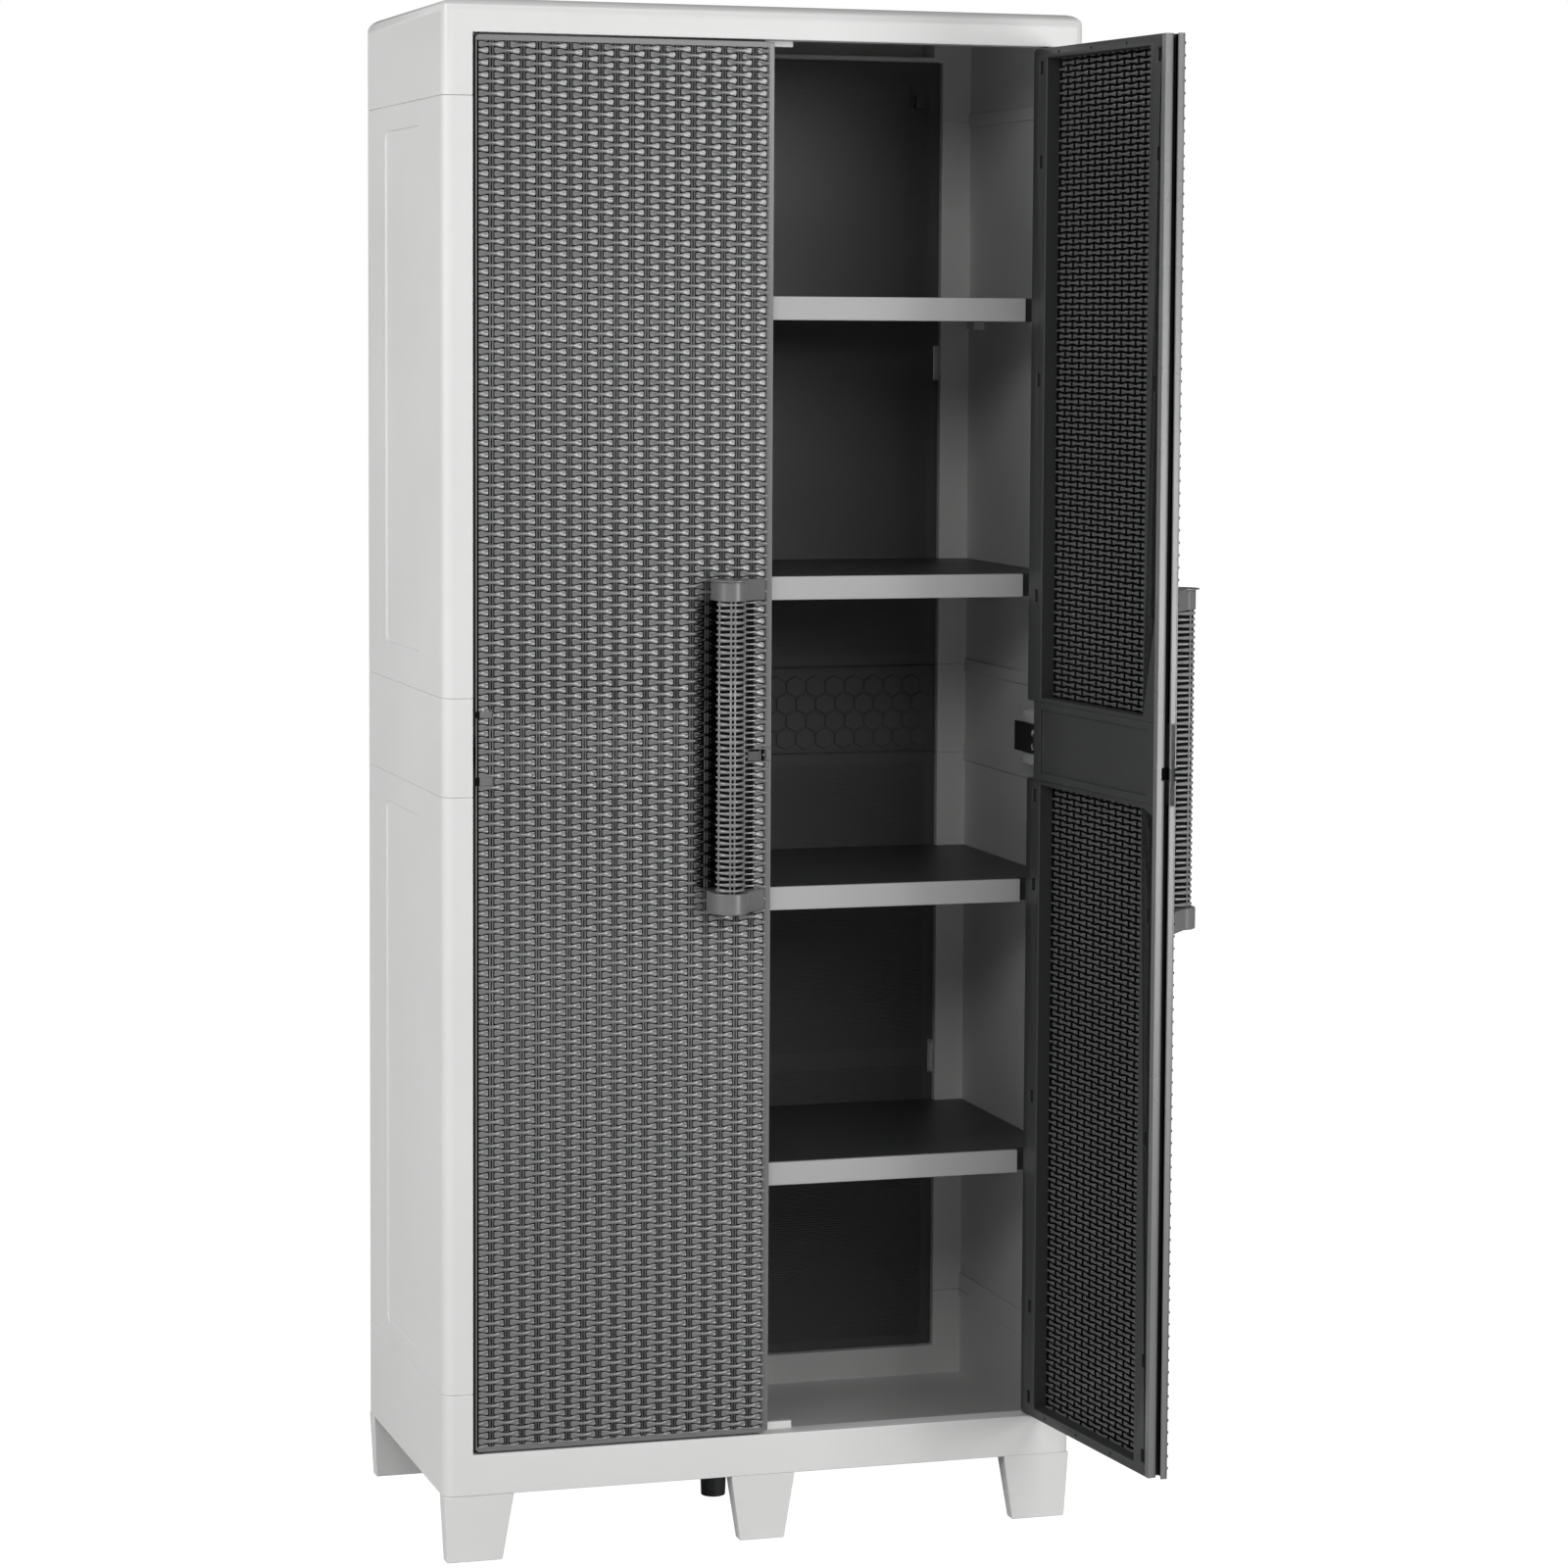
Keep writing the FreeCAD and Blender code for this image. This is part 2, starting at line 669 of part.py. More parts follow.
def back_panel(name, low, high, pocket_rows, slots):
    """One back panel with pockets behind and, at the given levels, light slots at both edges."""
    reach = groove_end - S.seat_clearance
    panel = block(name + "_plate", (-reach, reach), (back_front, back_rear), (low, high))
    tools = []
    pitch_x = (reach * 2 - S.back_rib * 3) / BACK_COLUMNS
    pitch_z = (high - low - S.back_rib) / pocket_rows
    for column in range(BACK_COLUMNS):
        for line in range(pocket_rows):
            left = -reach + S.back_rib * 1.5 + pitch_x * column
            under = low + S.back_rib + pitch_z * line
            tools.append(block(name + "_pocket", (left + S.back_rib / 2, left + pitch_x - S.back_rib / 2),
                               (back_front + S.back_skin, back_rear),
                               (under, under + pitch_z - S.back_rib)))
    for level in slots:
        for side in (-1, 1):
            tools.append(block(name + "_slot", sided(side, post_inner - S.light_slot_width, reach),
                               (back_front, back_rear),
                               (level - S.light_slot_height / 2, level + S.light_slot_height / 2)))
    node(name, cut(name + "_ribbed", panel, *tools))


upper_split = rear_lintel_bottom - S.back_split_upper
lower_split = rail_top + S.back_split_lower
back_panel("back_panel_top", upper_split, rear_lintel_bottom, BACK_ROWS, [upper_split])
back_panel("back_panel_upper", band_top, upper_split, BACK_ROWS, [upper_split])
back_panel("back_panel_middle", band_bottom, band_top, 1, [])
back_panel("back_panel_lower", lower_split, band_bottom, BACK_ROWS, [lower_split])
back_panel("back_panel_bottom", rail_top, lower_split, BACK_ROWS, [lower_split])


# Shelves: a dark ribbed board, a pale trim along its front, and four rests under its corners
SHELF_COLUMNS = 5
SHELF_ROWS = 2
shelf_edge = inner_wall - S.seat_clearance
board_front = stile_back + S.trim_thickness
board_back = back_front - S.shelf_back_gap
trims = []
rests = []
shelf_rises = (S.shelf_first, S.shelf_second, S.shelf_third, S.shelf_fourth)
for count, rise in enumerate(shelf_rises, 1):
    name = "shelf_board_%d" % count
    top = base_bottom + rise
    low = top - S.shelf_height
    board = block(name + "_block", (-shelf_edge, shelf_edge), (board_front, board_back), (low, top))
    tools = []
    for side in (-1, 1):
        tools.append(block(name + "_post_notch", sided(side, post_inner - S.seat_clearance, inner_wall),
                           (post_front - S.seat_clearance, board_back), (low, top)))
        tools.append(block(name + "_corner", sided(side, S.trim_half_length, inner_wall),
                           (board_front, board_front + S.shelf_end_setback), (low, top)))
    inside_front = board_front + S.shelf_end_setback + S.shelf_rib
    inside_back = post_front - S.seat_clearance - S.shelf_rib
    pitch_x = (shelf_edge * 2 - S.shelf_rib) / SHELF_COLUMNS
    pitch_y = (inside_back - inside_front + S.shelf_rib) / SHELF_ROWS
    for column in range(SHELF_COLUMNS):
        for line in range(SHELF_ROWS):
            left = -shelf_edge + S.shelf_rib + pitch_x * column
            near = inside_front + pitch_y * line
            tools.append(block(name + "_pocket", (left, left + pitch_x - S.shelf_rib),
                               (near, near + pitch_y - S.shelf_rib), (low, top - S.shelf_plate)))
    node(name, cut(name + "_ribbed", board, *tools))
    trims.append(block(name + "_trim", (-S.trim_half_length, S.trim_half_length),
                       (stile_back, board_front), (low, top)))
    for side in (-1, 1):
        for near in (stile_back + S.rest_front_inset, post_front - S.rest_back_inset):
            rests.append(block(name + "_rest", sided(side, inner_wall - S.rest_reach, inner_wall),
                               (near, near + S.rest_length), (low - S.rest_height, low)))
node("shelf_front_trims", group("trim_group", trims))
node("shelf_rests", group("rest_group", rests))


# The doors are drawn shut in their own frame, with the hinge axis as Z, then set on the hinge and turned
def along(side, low, high):
    """A stretch from the hinge axis towards the free edge."""
    return sided(-side, low, high)


def hang(side, name, thing):
    """Set a piece of a door on its hinge axis."""
    thing.Placement.Rotation = FreeCAD.Rotation(FreeCAD.Vector(0, 0, 1), 0)
    bind(thing, "Placement.Base.x", hinge_x * side)
    bind(thing, "Placement.Base.y", hinge_y)
    if side > 0:
        bind(thing, "Placement.Rotation.Angle", S.right_door_angle)
    return node(name, thing)


def hinge_round(name, side, radius, low, high):
    """The quarter round of the door's hinge edge, about the hinge axis."""
    return rod(name, radius, 0, 0, low, high - low, angle=90, turn=180 if side < 0 else 270)


def screw_levels(low, high, outwards):
    """Heights of the screws of one frame, counted from its outer end."""
    start = low if outwards < 0 else high
    steps = [S.first_screw, S.second_screw, S.second_screw + S.screw_pitch,
             S.second_screw + S.screw_pitch * 2]
    levels = [start - step * outwards for step in steps]
    if outwards < 0:
        levels.append(high - S.last_screw)
    return levels


# Stretches of the handle along the door and upwards
grip_middle = door_free - S.handle_centre
grip_start = grip_middle - S.handle_radius
grip_end = grip_middle + S.handle_radius
arm_end = door_free - S.handle_arm_gap
handle_low = section_middle + S.handle_rise - S.handle_height / 2
handle_high = handle_low + S.handle_height
grip_low = handle_low + S.handle_bracket_height
grip_high = handle_high - S.handle_bracket_height


def handle_shape(name, side, radius, end, low, high):
    """A half-round bar on a straight wall; with an end given, the wall slopes out to it at the door."""
    round_at = door_front - S.handle_stand + S.handle_radius
    nose = rod(name + "_nose", radius, grip_middle * -side, round_at, low, length(high) - low)
    front_across = along(side, grip_middle - radius, grip_middle + radius)
    back_across = along(side, grip_middle - radius, end) if end else front_across
    wall = wedge(name + "_wall", front_across, back_across, (round_at, door_front), (low, high))
    return joined(name, nose, wall)


for side, word in ((-1, "left"), (1, "right")):
    strip_end = door_free if side < 0 else door_free - S.strip_width
    frame_end = strip_end - S.strip_width
    screws = []
    parts = (("lower", door_bottom, section_bottom, -1), ("upper", section_top, door_top, 1))
    for part, low, high, outwards in parts:
        name = "%s_door_%s" % (word, part)
        skin = block(name + "_plate", along(side, 0, door_free), (door_front, skin_back), (low, high))
        rim = block(name + "_rim", along(side, door_free - S.skin_rim_width, door_free),
                    (door_front, door_front + S.skin_rim_depth), (low, high))
        scoop_span = (grip_low, high) if outwards < 0 else (low, grip_high)
        scoop = block(name + "_scoop", along(side, grip_start - S.finger_scoop_reach, grip_middle),
                      (door_front, door_front + S.finger_scoop_depth), scoop_span)
        skin = joined(name + "_skin_whole", skin, rim)
        hang(side, name + "_skin", cut(name + "_skin_scooped", skin, scoop))

        edge = block(name + "_edge", along(side, -S.hinge_inset, 0), (0, door_back), (low, high))
        quarter = hinge_round(name + "_round", side, S.hinge_inset, low, high)
        slab = block(name + "_slab", along(side, 0, frame_end), (skin_back, door_back), (low, high))
        window_low = low + (S.frame_end_rail if outwards < 0 else S.frame_inner_rail)
        window_high = high - (S.frame_inner_rail if outwards < 0 else S.frame_end_rail)
        window_start = S.hinge_stile_width - S.hinge_inset
        window_end = door_free - S.free_stile_width
        tools = [block(name + "_window", along(side, window_start, window_end),
                       (skin_back, door_back), (window_low, window_high))]
        outer_end = low if outwards < 0 else high - S.hinge_pin_in_door
        tools.append(rod(name + "_pin_bore", pin_clear, 0, 0, outer_end, S.hinge_pin_in_door))
        inner_end = high - S.middle_pin_in_frame if outwards < 0 else low
        tools.append(rod(name + "_middle_bore", S.middle_pin_radius + S.running_clearance, 0, 0,
                         inner_end, S.middle_pin_in_frame))
        pocket_floor = door_back - S.pocket_depth
        for level in screw_levels(low, high, outwards):
            for place in (S.pocket_from_edge - S.hinge_inset, door_free - S.pocket_from_free_edge):
                tools.append(block(name + "_pocket",
                                   along(side, place - S.pocket_width / 2, place + S.pocket_width / 2),
                                   (pocket_floor, door_back),
                                   (level - S.pocket_height / 2, level + S.pocket_height / 2)))
                tools.append(rod(name + "_screw_hole", S.screw_shank_radius + S.screw_clearance,
                                 place * -side, pocket_floor, level, S.screw_shank_length, (0, -1, 0)))
                head = rod(name + "_screw_head", S.screw_head_radius, place * -side,
                           pocket_floor + S.screw_head_height, level, S.screw_head_height, (0, -1, 0))
                shank = rod(name + "_screw_shank", S.screw_shank_radius, place * -side,
                            pocket_floor, level, S.screw_shank_length, (0, -1, 0))
                screws.append(joined(name + "_screw", head, shank))
        frame = joined(name + "_frame_blank", edge, quarter, slab)
        hang(side, name + "_frame", cut(name + "_frame_cut", frame, *tools))
    hang(side, "%s_door_screws" % word, group("%s_screw_group" % word, screws))

    # The middle section, cut back at the hinge edge for the middle hinge
    name = "%s_door_middle" % word
    span = (section_bottom, section_top)
    window_low = bracket_middle - S.hinge_window_height / 2
    window_high = bracket_middle + S.hinge_window_height / 2
    quarter_top = hinge_round(name + "_round_top", side, S.hinge_inset, window_high, section_top)
    quarter_low = hinge_round(name + "_round_low", side, S.hinge_inset, section_bottom, window_low)
    round_clear = rod(name + "_round_bore", S.hinge_inset - S.skin_thickness, 0, 0,
                      section_bottom, S.middle_section_height)
    rounds = cut(name + "_rounds", joined(name + "_quarters", quarter_top, quarter_low), round_clear)
    plate = block(name + "_plate", along(side, 0, door_free), (door_front, skin_back), span)
    rim = block(name + "_rim", along(side, door_free - S.skin_rim_width, door_free),
                (door_front, door_front + S.skin_rim_depth), span)
    core = block(name + "_core", along(side, S.hinge_cutback, frame_end), (skin_back, door_back), span)
    border = S.middle_recess_border
    recess_across = along(side, S.hinge_stile_width - S.hinge_inset, frame_end - border * 2)
    recess = block(name + "_recess", recess_across, (door_back - S.middle_recess_depth, door_back),
                   (section_bottom + border, section_top - border))
    lock_middle = section_middle - S.padlock_drop
    lock_span = (lock_middle - S.padlock_height / 2, lock_middle + S.padlock_height / 2)
    lock_across = (door_free - S.skin_rim_width - S.padlock_width, door_free - S.skin_rim_width)
    well_deep = (door_front, door_front + S.padlock_well)
    well = block(name + "_lock_well", along(side, *lock_across), well_deep, lock_span)
    scoop = block(name + "_scoop", along(side, grip_start - S.finger_scoop_reach, grip_middle),
                  (door_front, door_front + S.finger_scoop_depth), span)
    whole = joined(name + "_whole", rounds, plate, rim, core)
    hang(side, name + "_section", cut(name + "_cut", whole, recess, well, scoop))

    lock_place = (lock_across[0] + lock_across[1]) / 2
    plate_front = door_front + S.padlock_recess
    lock_plate = block(word + "_lock_plate", along(side, *lock_across),
                       (plate_front, plate_front + S.padlock_plate), lock_span)
    lock_hole = rod(word + "_lock_hole", S.padlock_hole_radius, lock_place * -side,
                    plate_front + S.padlock_plate, lock_middle, S.padlock_plate, (0, -1, 0))
    hang(side, "%s_padlock_plate" % word, cut(word + "_lock_cut", lock_plate, lock_hole))

    # The strip along the free edge; the left one has a lip that closes the gap between the doors
    strip_front = door_back - S.strip_thickness
    strip = block(word + "_strip_bar", along(side, frame_end, strip_end), (strip_front, door_back),
                  (door_bottom, door_top))
    if side < 0:
        lip = block("left_strip_lip", along(side, door_free, door_free + S.lip_width),
                    (strip_front, strip_front + S.lip_thickness), (door_bottom, door_top))
        strip = joined("left_strip_lipped", strip, lip)
    shackle_way = block(word + "_shackle_way", along(side, lock_across[0], door_free + S.lip_width),
                        well_deep, lock_span)
    hang(side, "%s_door_edge_strip" % word, cut(word + "_strip_notched", strip, shackle_way))

    # The middle hinge pin, held in the two frames
    pin_low = section_bottom - S.middle_pin_in_frame
    pin_tall = S.middle_section_height + S.middle_pin_in_frame * 2
    hang(side, "%s_middle_hinge_pin" % word,
         rod(word + "_middle_pin", S.middle_pin_radius, 0, 0, pin_low, pin_tall))

    # The handle: a half-round grip on a wall that flares to the free edge and is open at the hinge
    # side, between two end brackets that slope down to the free edge
    spans = (("bottom_bracket", handle_low, grip_low), ("grip", grip_low, grip_high),
             ("top_bracket", grip_high, handle_high))
    for part, low, high in spans:
        name = "%s_handle_%s" % (word, part)
        if part == "grip":
            outer = handle_shape(name + "_outer", side, S.handle_radius, 0, low, high)
            foot_front = along(side, grip_middle, grip_end)
            foot_back = along(side, grip_middle, grip_end + S.handle_foot_reach)
            foot = wedge(name + "_foot", foot_front, foot_back,
                         (door_front - S.handle_foot_height, door_front), (low, high))
            inner = handle_shape(name + "_inner", side, S.handle_radius - S.handle_wall, 0, low, high)
            finger = block(name + "_finger_gap",
                           along(side, grip_start, grip_start + S.handle_wall),
                           (door_front - S.finger_gap, door_front), (low, high))
            hang(side, name, cut(name + "_shell", joined(name + "_whole", outer, foot), inner, finger))
        elif part == "top_bracket":
            body = handle_shape(name + "_body", side, S.handle_radius, arm_end, low, high)
            rim = handle_shape(name + "_rim", side, S.handle_radius + S.handle_rim, 0,
                               high - S.handle_rim_thickness, high)
            hang(side, name, joined(name + "_whole", body, rim))
        else:
            hang(side, name, handle_shape(name + "_body", side, S.handle_radius + S.handle_rim,
                                          arm_end, low, high))


# Hinge pins of the case, and the middle hinge brackets with their screws
top_pins = []
bottom_pins = []
bracket_screws = []
for side, word in ((-1, "left"), (1, "right")):
    pin_tall = S.hinge_pin_in_case + S.door_end_gap + S.hinge_pin_in_door - S.seat_clearance
    top_low = door_top - S.hinge_pin_in_door + S.seat_clearance
    top_pins.append(rod(word + "_top_pin", S.hinge_pin_radius, hinge_x * side, hinge_y, top_low, pin_tall))
    bottom_pins.append(rod(word + "_bottom_pin", S.hinge_pin_radius, hinge_x * side, hinge_y,
                           rail_top - S.hinge_pin_in_case, pin_tall))

    name = "%s_middle_hinge_bracket" % word
    boss_face = opening_half - S.boss_reach
    plate_deep = (hinge_y + S.bracket_from_axis, hinge_y + S.bracket_from_axis + S.bracket_length)
    plate_up = (bracket_middle - S.bracket_height / 2, bracket_middle + S.bracket_height / 2)
    barrel_up = (bracket_middle - S.barrel_height / 2, bracket_middle + S.barrel_height / 2)
    plate = block(name + "_plate", sided(side, boss_face - S.bracket_thickness, boss_face),
                  plate_deep, plate_up)
    bridge = block(name + "_bridge", sided(side, hinge_x - S.barrel_radius, boss_face),
                   (plate_deep[0], plate_deep[0] + S.bracket_thickness), barrel_up)
    arm = block(name + "_arm", sided(side, hinge_x - S.barrel_radius, hinge_x + S.arm_inset),
                (hinge_y, plate_deep[0] + S.bracket_thickness), barrel_up)
    barrel = rod(name + "_barrel", S.barrel_radius, hinge_x * side, hinge_y, barrel_up[0],
                 S.barrel_height)
    bore = rod(name + "_bore", S.middle_pin_radius + S.running_clearance, hinge_x * side, hinge_y,
               barrel_up[0], S.barrel_height)
    holes = []
    screw_y = plate_deep[0] + S.bracket_screw_from_front
    plate_face = boss_face - S.bracket_thickness
    for step in (-0.5, 0.5):
        level = bracket_middle + S.bracket_screw_spacing * step
        holes.append(rod(name + "_hole", S.screw_shank_radius + S.screw_clearance,
                         plate_face * side, screw_y, level, S.bracket_thickness, (side, 0, 0)))
        head = rod(name + "_screw_head", S.bracket_screw_head,
                   (plate_face - S.screw_head_height) * side, screw_y, level, S.screw_head_height,
                   (side, 0, 0))
        shank = rod(name + "_screw_shank", S.screw_shank_radius, plate_face * side, screw_y, level,
                    S.bracket_thickness + S.screw_shank_length, (side, 0, 0))
        bracket_screws.append(joined(name + "_screw", head, shank))
    node(name, cut(name + "_drilled", joined(name + "_whole", plate, bridge, arm, barrel), bore, *holes))
node("top_hinge_pins", group("top_pin_group", top_pins))
node("bottom_hinge_pins", group("bottom_pin_group", bottom_pins))
node("bracket_screws", group("bracket_screw_group", bracket_screws))


# Catches behind the doors, on the lintel and on the front rail, and two hooks on the back
catch_deep = (stile_back - S.catch_depth, stile_back)
catch_left = S.top_catch_shift - S.catch_length / 2
node("top_catch", block("top_catch_bar", (catch_left, catch_left + S.catch_length), catch_deep,
                        (lintel_bottom - S.top_catch_drop, lintel_bottom)))
bottom_half = S.catch_length + S.bottom_catch_gap
lobe_up = (rail_top, rail_top + S.bottom_catch_rise)
bottom_foot = block("bottom_catch_foot", (-bottom_half, bottom_half), catch_deep,
                    (rail_top, rail_top + S.bottom_catch_rise / 3))
lobes = [block("bottom_catch_lobe", sided(side, S.bottom_catch_gap, bottom_half), catch_deep, lobe_up)
         for side in (-1, 1)]
node("bottom_catch", joined("bottom_catch_whole", bottom_foot, *lobes))

hooks = []
for side in (-1, 1):
    hook_high = rear_lintel_bottom - S.hook_drop
    hook_low = hook_high - S.hook_height
    inner = inner_wall - S.hook_from_wall - S.hook_width / 2
    plate = block("hook_plate", sided(side, inner, inner + S.hook_width),
                  (back_front - S.hook_plate, back_front), (hook_low, hook_high))
    arm = block("hook_arm", sided(side, inner + S.hook_plate, inner + S.hook_width - S.hook_plate),
                (back_front - S.hook_reach, back_front - S.hook_plate),
                (hook_low, hook_low + S.hook_plate))
    tip = block("hook_tip", sided(side, inner + S.hook_plate, inner + S.hook_width - S.hook_plate),
                (back_front - S.hook_reach, back_front - S.hook_reach + S.hook_plate),
                (hook_low, hook_low + S.hook_height / 2))
    hooks.append(joined("hook", plate, arm, tip))
node("utility_hooks", group("hook_group", hooks))


doc.recompute()
failed = [thing.Label for thing in doc.Objects if "Invalid" in thing.State or "Error" in thing.State]
assert not failed, failed
for thing in nodes:
    assert not thing.Shape.isNull() and thing.Shape.isValid(), thing.Label
os.makedirs("parts", exist_ok=True)
for thing in nodes:
    thing.Shape.exportStep("parts/%s.step" % thing.Label)
    print("%-28s %2d solids %12.0f mm3" % (thing.Label, len(thing.Shape.Solids), thing.Shape.Volume))
print(len(nodes), "nodes")
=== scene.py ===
import math
import bpy
from mathutils import Matrix, Vector


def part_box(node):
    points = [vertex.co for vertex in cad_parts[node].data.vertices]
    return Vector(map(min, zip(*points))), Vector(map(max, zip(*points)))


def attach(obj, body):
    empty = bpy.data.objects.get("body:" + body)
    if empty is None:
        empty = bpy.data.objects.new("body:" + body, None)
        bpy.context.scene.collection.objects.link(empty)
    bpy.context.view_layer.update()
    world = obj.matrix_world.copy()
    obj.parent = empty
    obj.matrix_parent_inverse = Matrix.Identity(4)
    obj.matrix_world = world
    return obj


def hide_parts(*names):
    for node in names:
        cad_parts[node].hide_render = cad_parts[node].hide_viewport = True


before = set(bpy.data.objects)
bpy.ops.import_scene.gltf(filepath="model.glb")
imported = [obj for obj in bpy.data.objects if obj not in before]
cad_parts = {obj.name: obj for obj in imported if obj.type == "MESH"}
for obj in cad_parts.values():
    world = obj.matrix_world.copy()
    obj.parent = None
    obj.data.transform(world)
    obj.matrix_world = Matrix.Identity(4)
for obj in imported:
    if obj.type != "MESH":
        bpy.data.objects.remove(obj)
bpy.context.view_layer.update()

# The view of the photograph: a long lens in front of the cabinet, to its left and above its middle,
# in metres in the cabinet's own frame. A small shift of the lens frames it as the photograph does.
bpy.ops.object.select_all(action="DESELECT")
heading, tilt, roll = math.radians(-17.468), math.radians(85.311), math.radians(0.373)
bpy.ops.object.camera_add(location=(-1.4854, -5.2137, 1.4490))
camera = bpy.context.object
aim = Matrix.Rotation(heading, 3, "Z") @ Matrix.Rotation(tilt, 3, "X")
camera.rotation_euler = (aim @ Matrix.Rotation(roll, 3, "Z")).to_euler()
camera.data.lens = 101.86
camera.data.sensor_width = 36
camera.data.shift_x = -0.034
camera.data.shift_y = -0.06
camera.data.clip_end = 50
bpy.context.scene.camera = camera
bpy.context.scene.view_settings.view_transform = "Standard"

# Plain studio light: a pale room, brighter overhead and seen as white by the camera, a main lamp at
# the front right, one beyond it whose sheen lies on the open door's edge, and two at the left: a high
# one in front, and the strongest at the side.
room = bpy.data.worlds.new("studio_room")
bpy.context.scene.world = room
room.use_nodes = True
room_light = room.node_tree.nodes["Background"]
room_light.inputs["Color"].default_value = (1, 1, 1, 1)
room_way = room.node_tree.nodes.new("ShaderNodeTexCoord")
room_height = room.node_tree.nodes.new("ShaderNodeSeparateXYZ")
room_rise = room.node_tree.nodes.new("ShaderNodeMapRange")
room_rise.inputs["To Min"].default_value = 0.10
room_rise.inputs["To Max"].default_value = 0.32
room.node_tree.links.new(room_way.outputs["Generated"], room_height.inputs[0])
room.node_tree.links.new(room_height.outputs["Z"], room_rise.inputs["Value"])
room.node_tree.links.new(room_rise.outputs["Result"], room_light.inputs["Strength"])
room_white = room.node_tree.nodes.new("ShaderNodeBackground")
room_white.inputs["Color"].default_value = (1, 1, 1, 1)
room_white.inputs["Strength"].default_value = 1.0
room_ray = room.node_tree.nodes.new("ShaderNodeLightPath")
room_seen = room.node_tree.nodes.new("ShaderNodeMath")
room_seen.operation = "MAXIMUM"
room_mix = room.node_tree.nodes.new("ShaderNodeMixShader")
room.node_tree.links.new(room_ray.outputs["Is Camera Ray"], room_seen.inputs[0])
room.node_tree.links.new(room_ray.outputs["Is Transmission Ray"], room_seen.inputs[1])
room.node_tree.links.new(room_seen.outputs[0], room_mix.inputs["Fac"])
room.node_tree.links.new(room_light.outputs[0], room_mix.inputs[1])
room.node_tree.links.new(room_white.outputs[0], room_mix.inputs[2])
room.node_tree.links.new(room_mix.outputs[0], room.node_tree.nodes["World Output"].inputs["Surface"])
cabinet_middle = Vector((0, 0, 0.9))
for place, power, size in (((1.35, -3.8, 2.45), 60, 1.6), ((2.86, -4.4, 0.75), 78, 1.5),
                           ((-2.2, -4.4, 3.2), 34, 1.4), ((-4.6, -0.9, 2.2), 135, 2.4)):
    bpy.ops.object.light_add(type="AREA", location=place)
    lamp = bpy.context.object
    lamp.data.energy = power
    lamp.data.size = size
    lamp.rotation_euler = (Vector(place) - cabinet_middle).to_track_quat("Z", "Y").to_euler()

# The ground: a wide pale floor that glows white to the camera, with a share of its own finish left
# in, so that the cabinet's soft shadow stays on it.
bpy.ops.mesh.primitive_plane_add(size=40)
ground = bpy.context.object
ground.name = "ground"
ground_white = bpy.data.materials.new("ground_white")
ground_white.use_nodes = True
ground_nodes = ground_white.node_tree.nodes
ground_nodes["Principled BSDF"].inputs["Base Color"].default_value = (0.6, 0.6, 0.6, 1)
ground_nodes["Principled BSDF"].inputs["Roughness"].default_value = 0.9
ground_nodes["Principled BSDF"].inputs["Specular IOR Level"].default_value = 0.1
ground_glow = ground_nodes.new("ShaderNodeEmission")
ground_glow.inputs["Strength"].default_value = 1.2
ground_ray = ground_nodes.new("ShaderNodeLightPath")
ground_share = ground_nodes.new("ShaderNodeMath")
ground_share.operation = "MULTIPLY"
ground_share.inputs[1].default_value = 0.86
ground_mix = ground_nodes.new("ShaderNodeMixShader")
ground_white.node_tree.links.new(ground_ray.outputs["Is Camera Ray"], ground_share.inputs[0])
ground_white.node_tree.links.new(ground_share.outputs[0], ground_mix.inputs["Fac"])
ground_white.node_tree.links.new(ground_nodes["Principled BSDF"].outputs[0], ground_mix.inputs[1])
ground_white.node_tree.links.new(ground_glow.outputs[0], ground_mix.inputs[2])
ground_white.node_tree.links.new(ground_mix.outputs[0],
                                 ground_nodes["Material Output"].inputs["Surface"])
ground.data.materials.append(ground_white)

# The seven feet: hollow tapered stumps moulded in light resin, plugged into the base from below.
# The round one stands under the middle of the floor; its dark finish is painted shade for the shadow there.


def resin(name, colour, roughness, cloud=0.04, grain=0.12):
    """Moulded resin: slightly cloudy in colour and gloss, with the fine grain of an etched mould."""
    gloss_swing, cloud_scale, grain_scale, grain_depth = 0.06, 5, 900, 0.0003
    finish = bpy.data.materials.new(name)
    finish.use_nodes = True
    nodes, links = finish.node_tree.nodes, finish.node_tree.links
    shader = nodes["Principled BSDF"]
    place = nodes.new("ShaderNodeTexCoord")
    clouds = nodes.new("ShaderNodeTexNoise")
    clouds.inputs["Scale"].default_value = cloud_scale
    clouds.inputs["Detail"].default_value = 4
    tint = nodes.new("ShaderNodeMix")
    tint.data_type = "RGBA"
    tint.inputs["A"].default_value = [c * (1 - cloud) for c in colour] + [1]
    tint.inputs["B"].default_value = [c * (1 + cloud) for c in colour] + [1]
    speckle = nodes.new("ShaderNodeTexNoise")
    speckle.inputs["Scale"].default_value = grain_scale
    speckle.inputs["Detail"].default_value = 2
    gloss = nodes.new("ShaderNodeMapRange")
    gloss.inputs["To Min"].default_value = roughness - gloss_swing
    gloss.inputs["To Max"].default_value = roughness + gloss_swing
    etched = nodes.new("ShaderNodeBump")
    etched.inputs["Strength"].default_value = grain
    etched.inputs["Distance"].default_value = grain_depth
    links.new(place.outputs["Object"], clouds.inputs["Vector"])
    links.new(place.outputs["Object"], speckle.inputs["Vector"])
    links.new(clouds.outputs["Fac"], tint.inputs["Factor"])
    links.new(tint.outputs["Result"], shader.inputs["Base Color"])
    links.new(clouds.outputs["Fac"], gloss.inputs["Value"])
    links.new(gloss.outputs["Result"], shader.inputs["Roughness"])
    links.new(speckle.outputs["Fac"], etched.inputs["Height"])
    links.new(etched.outputs["Normal"], shader.inputs["Normal"])
    return finish


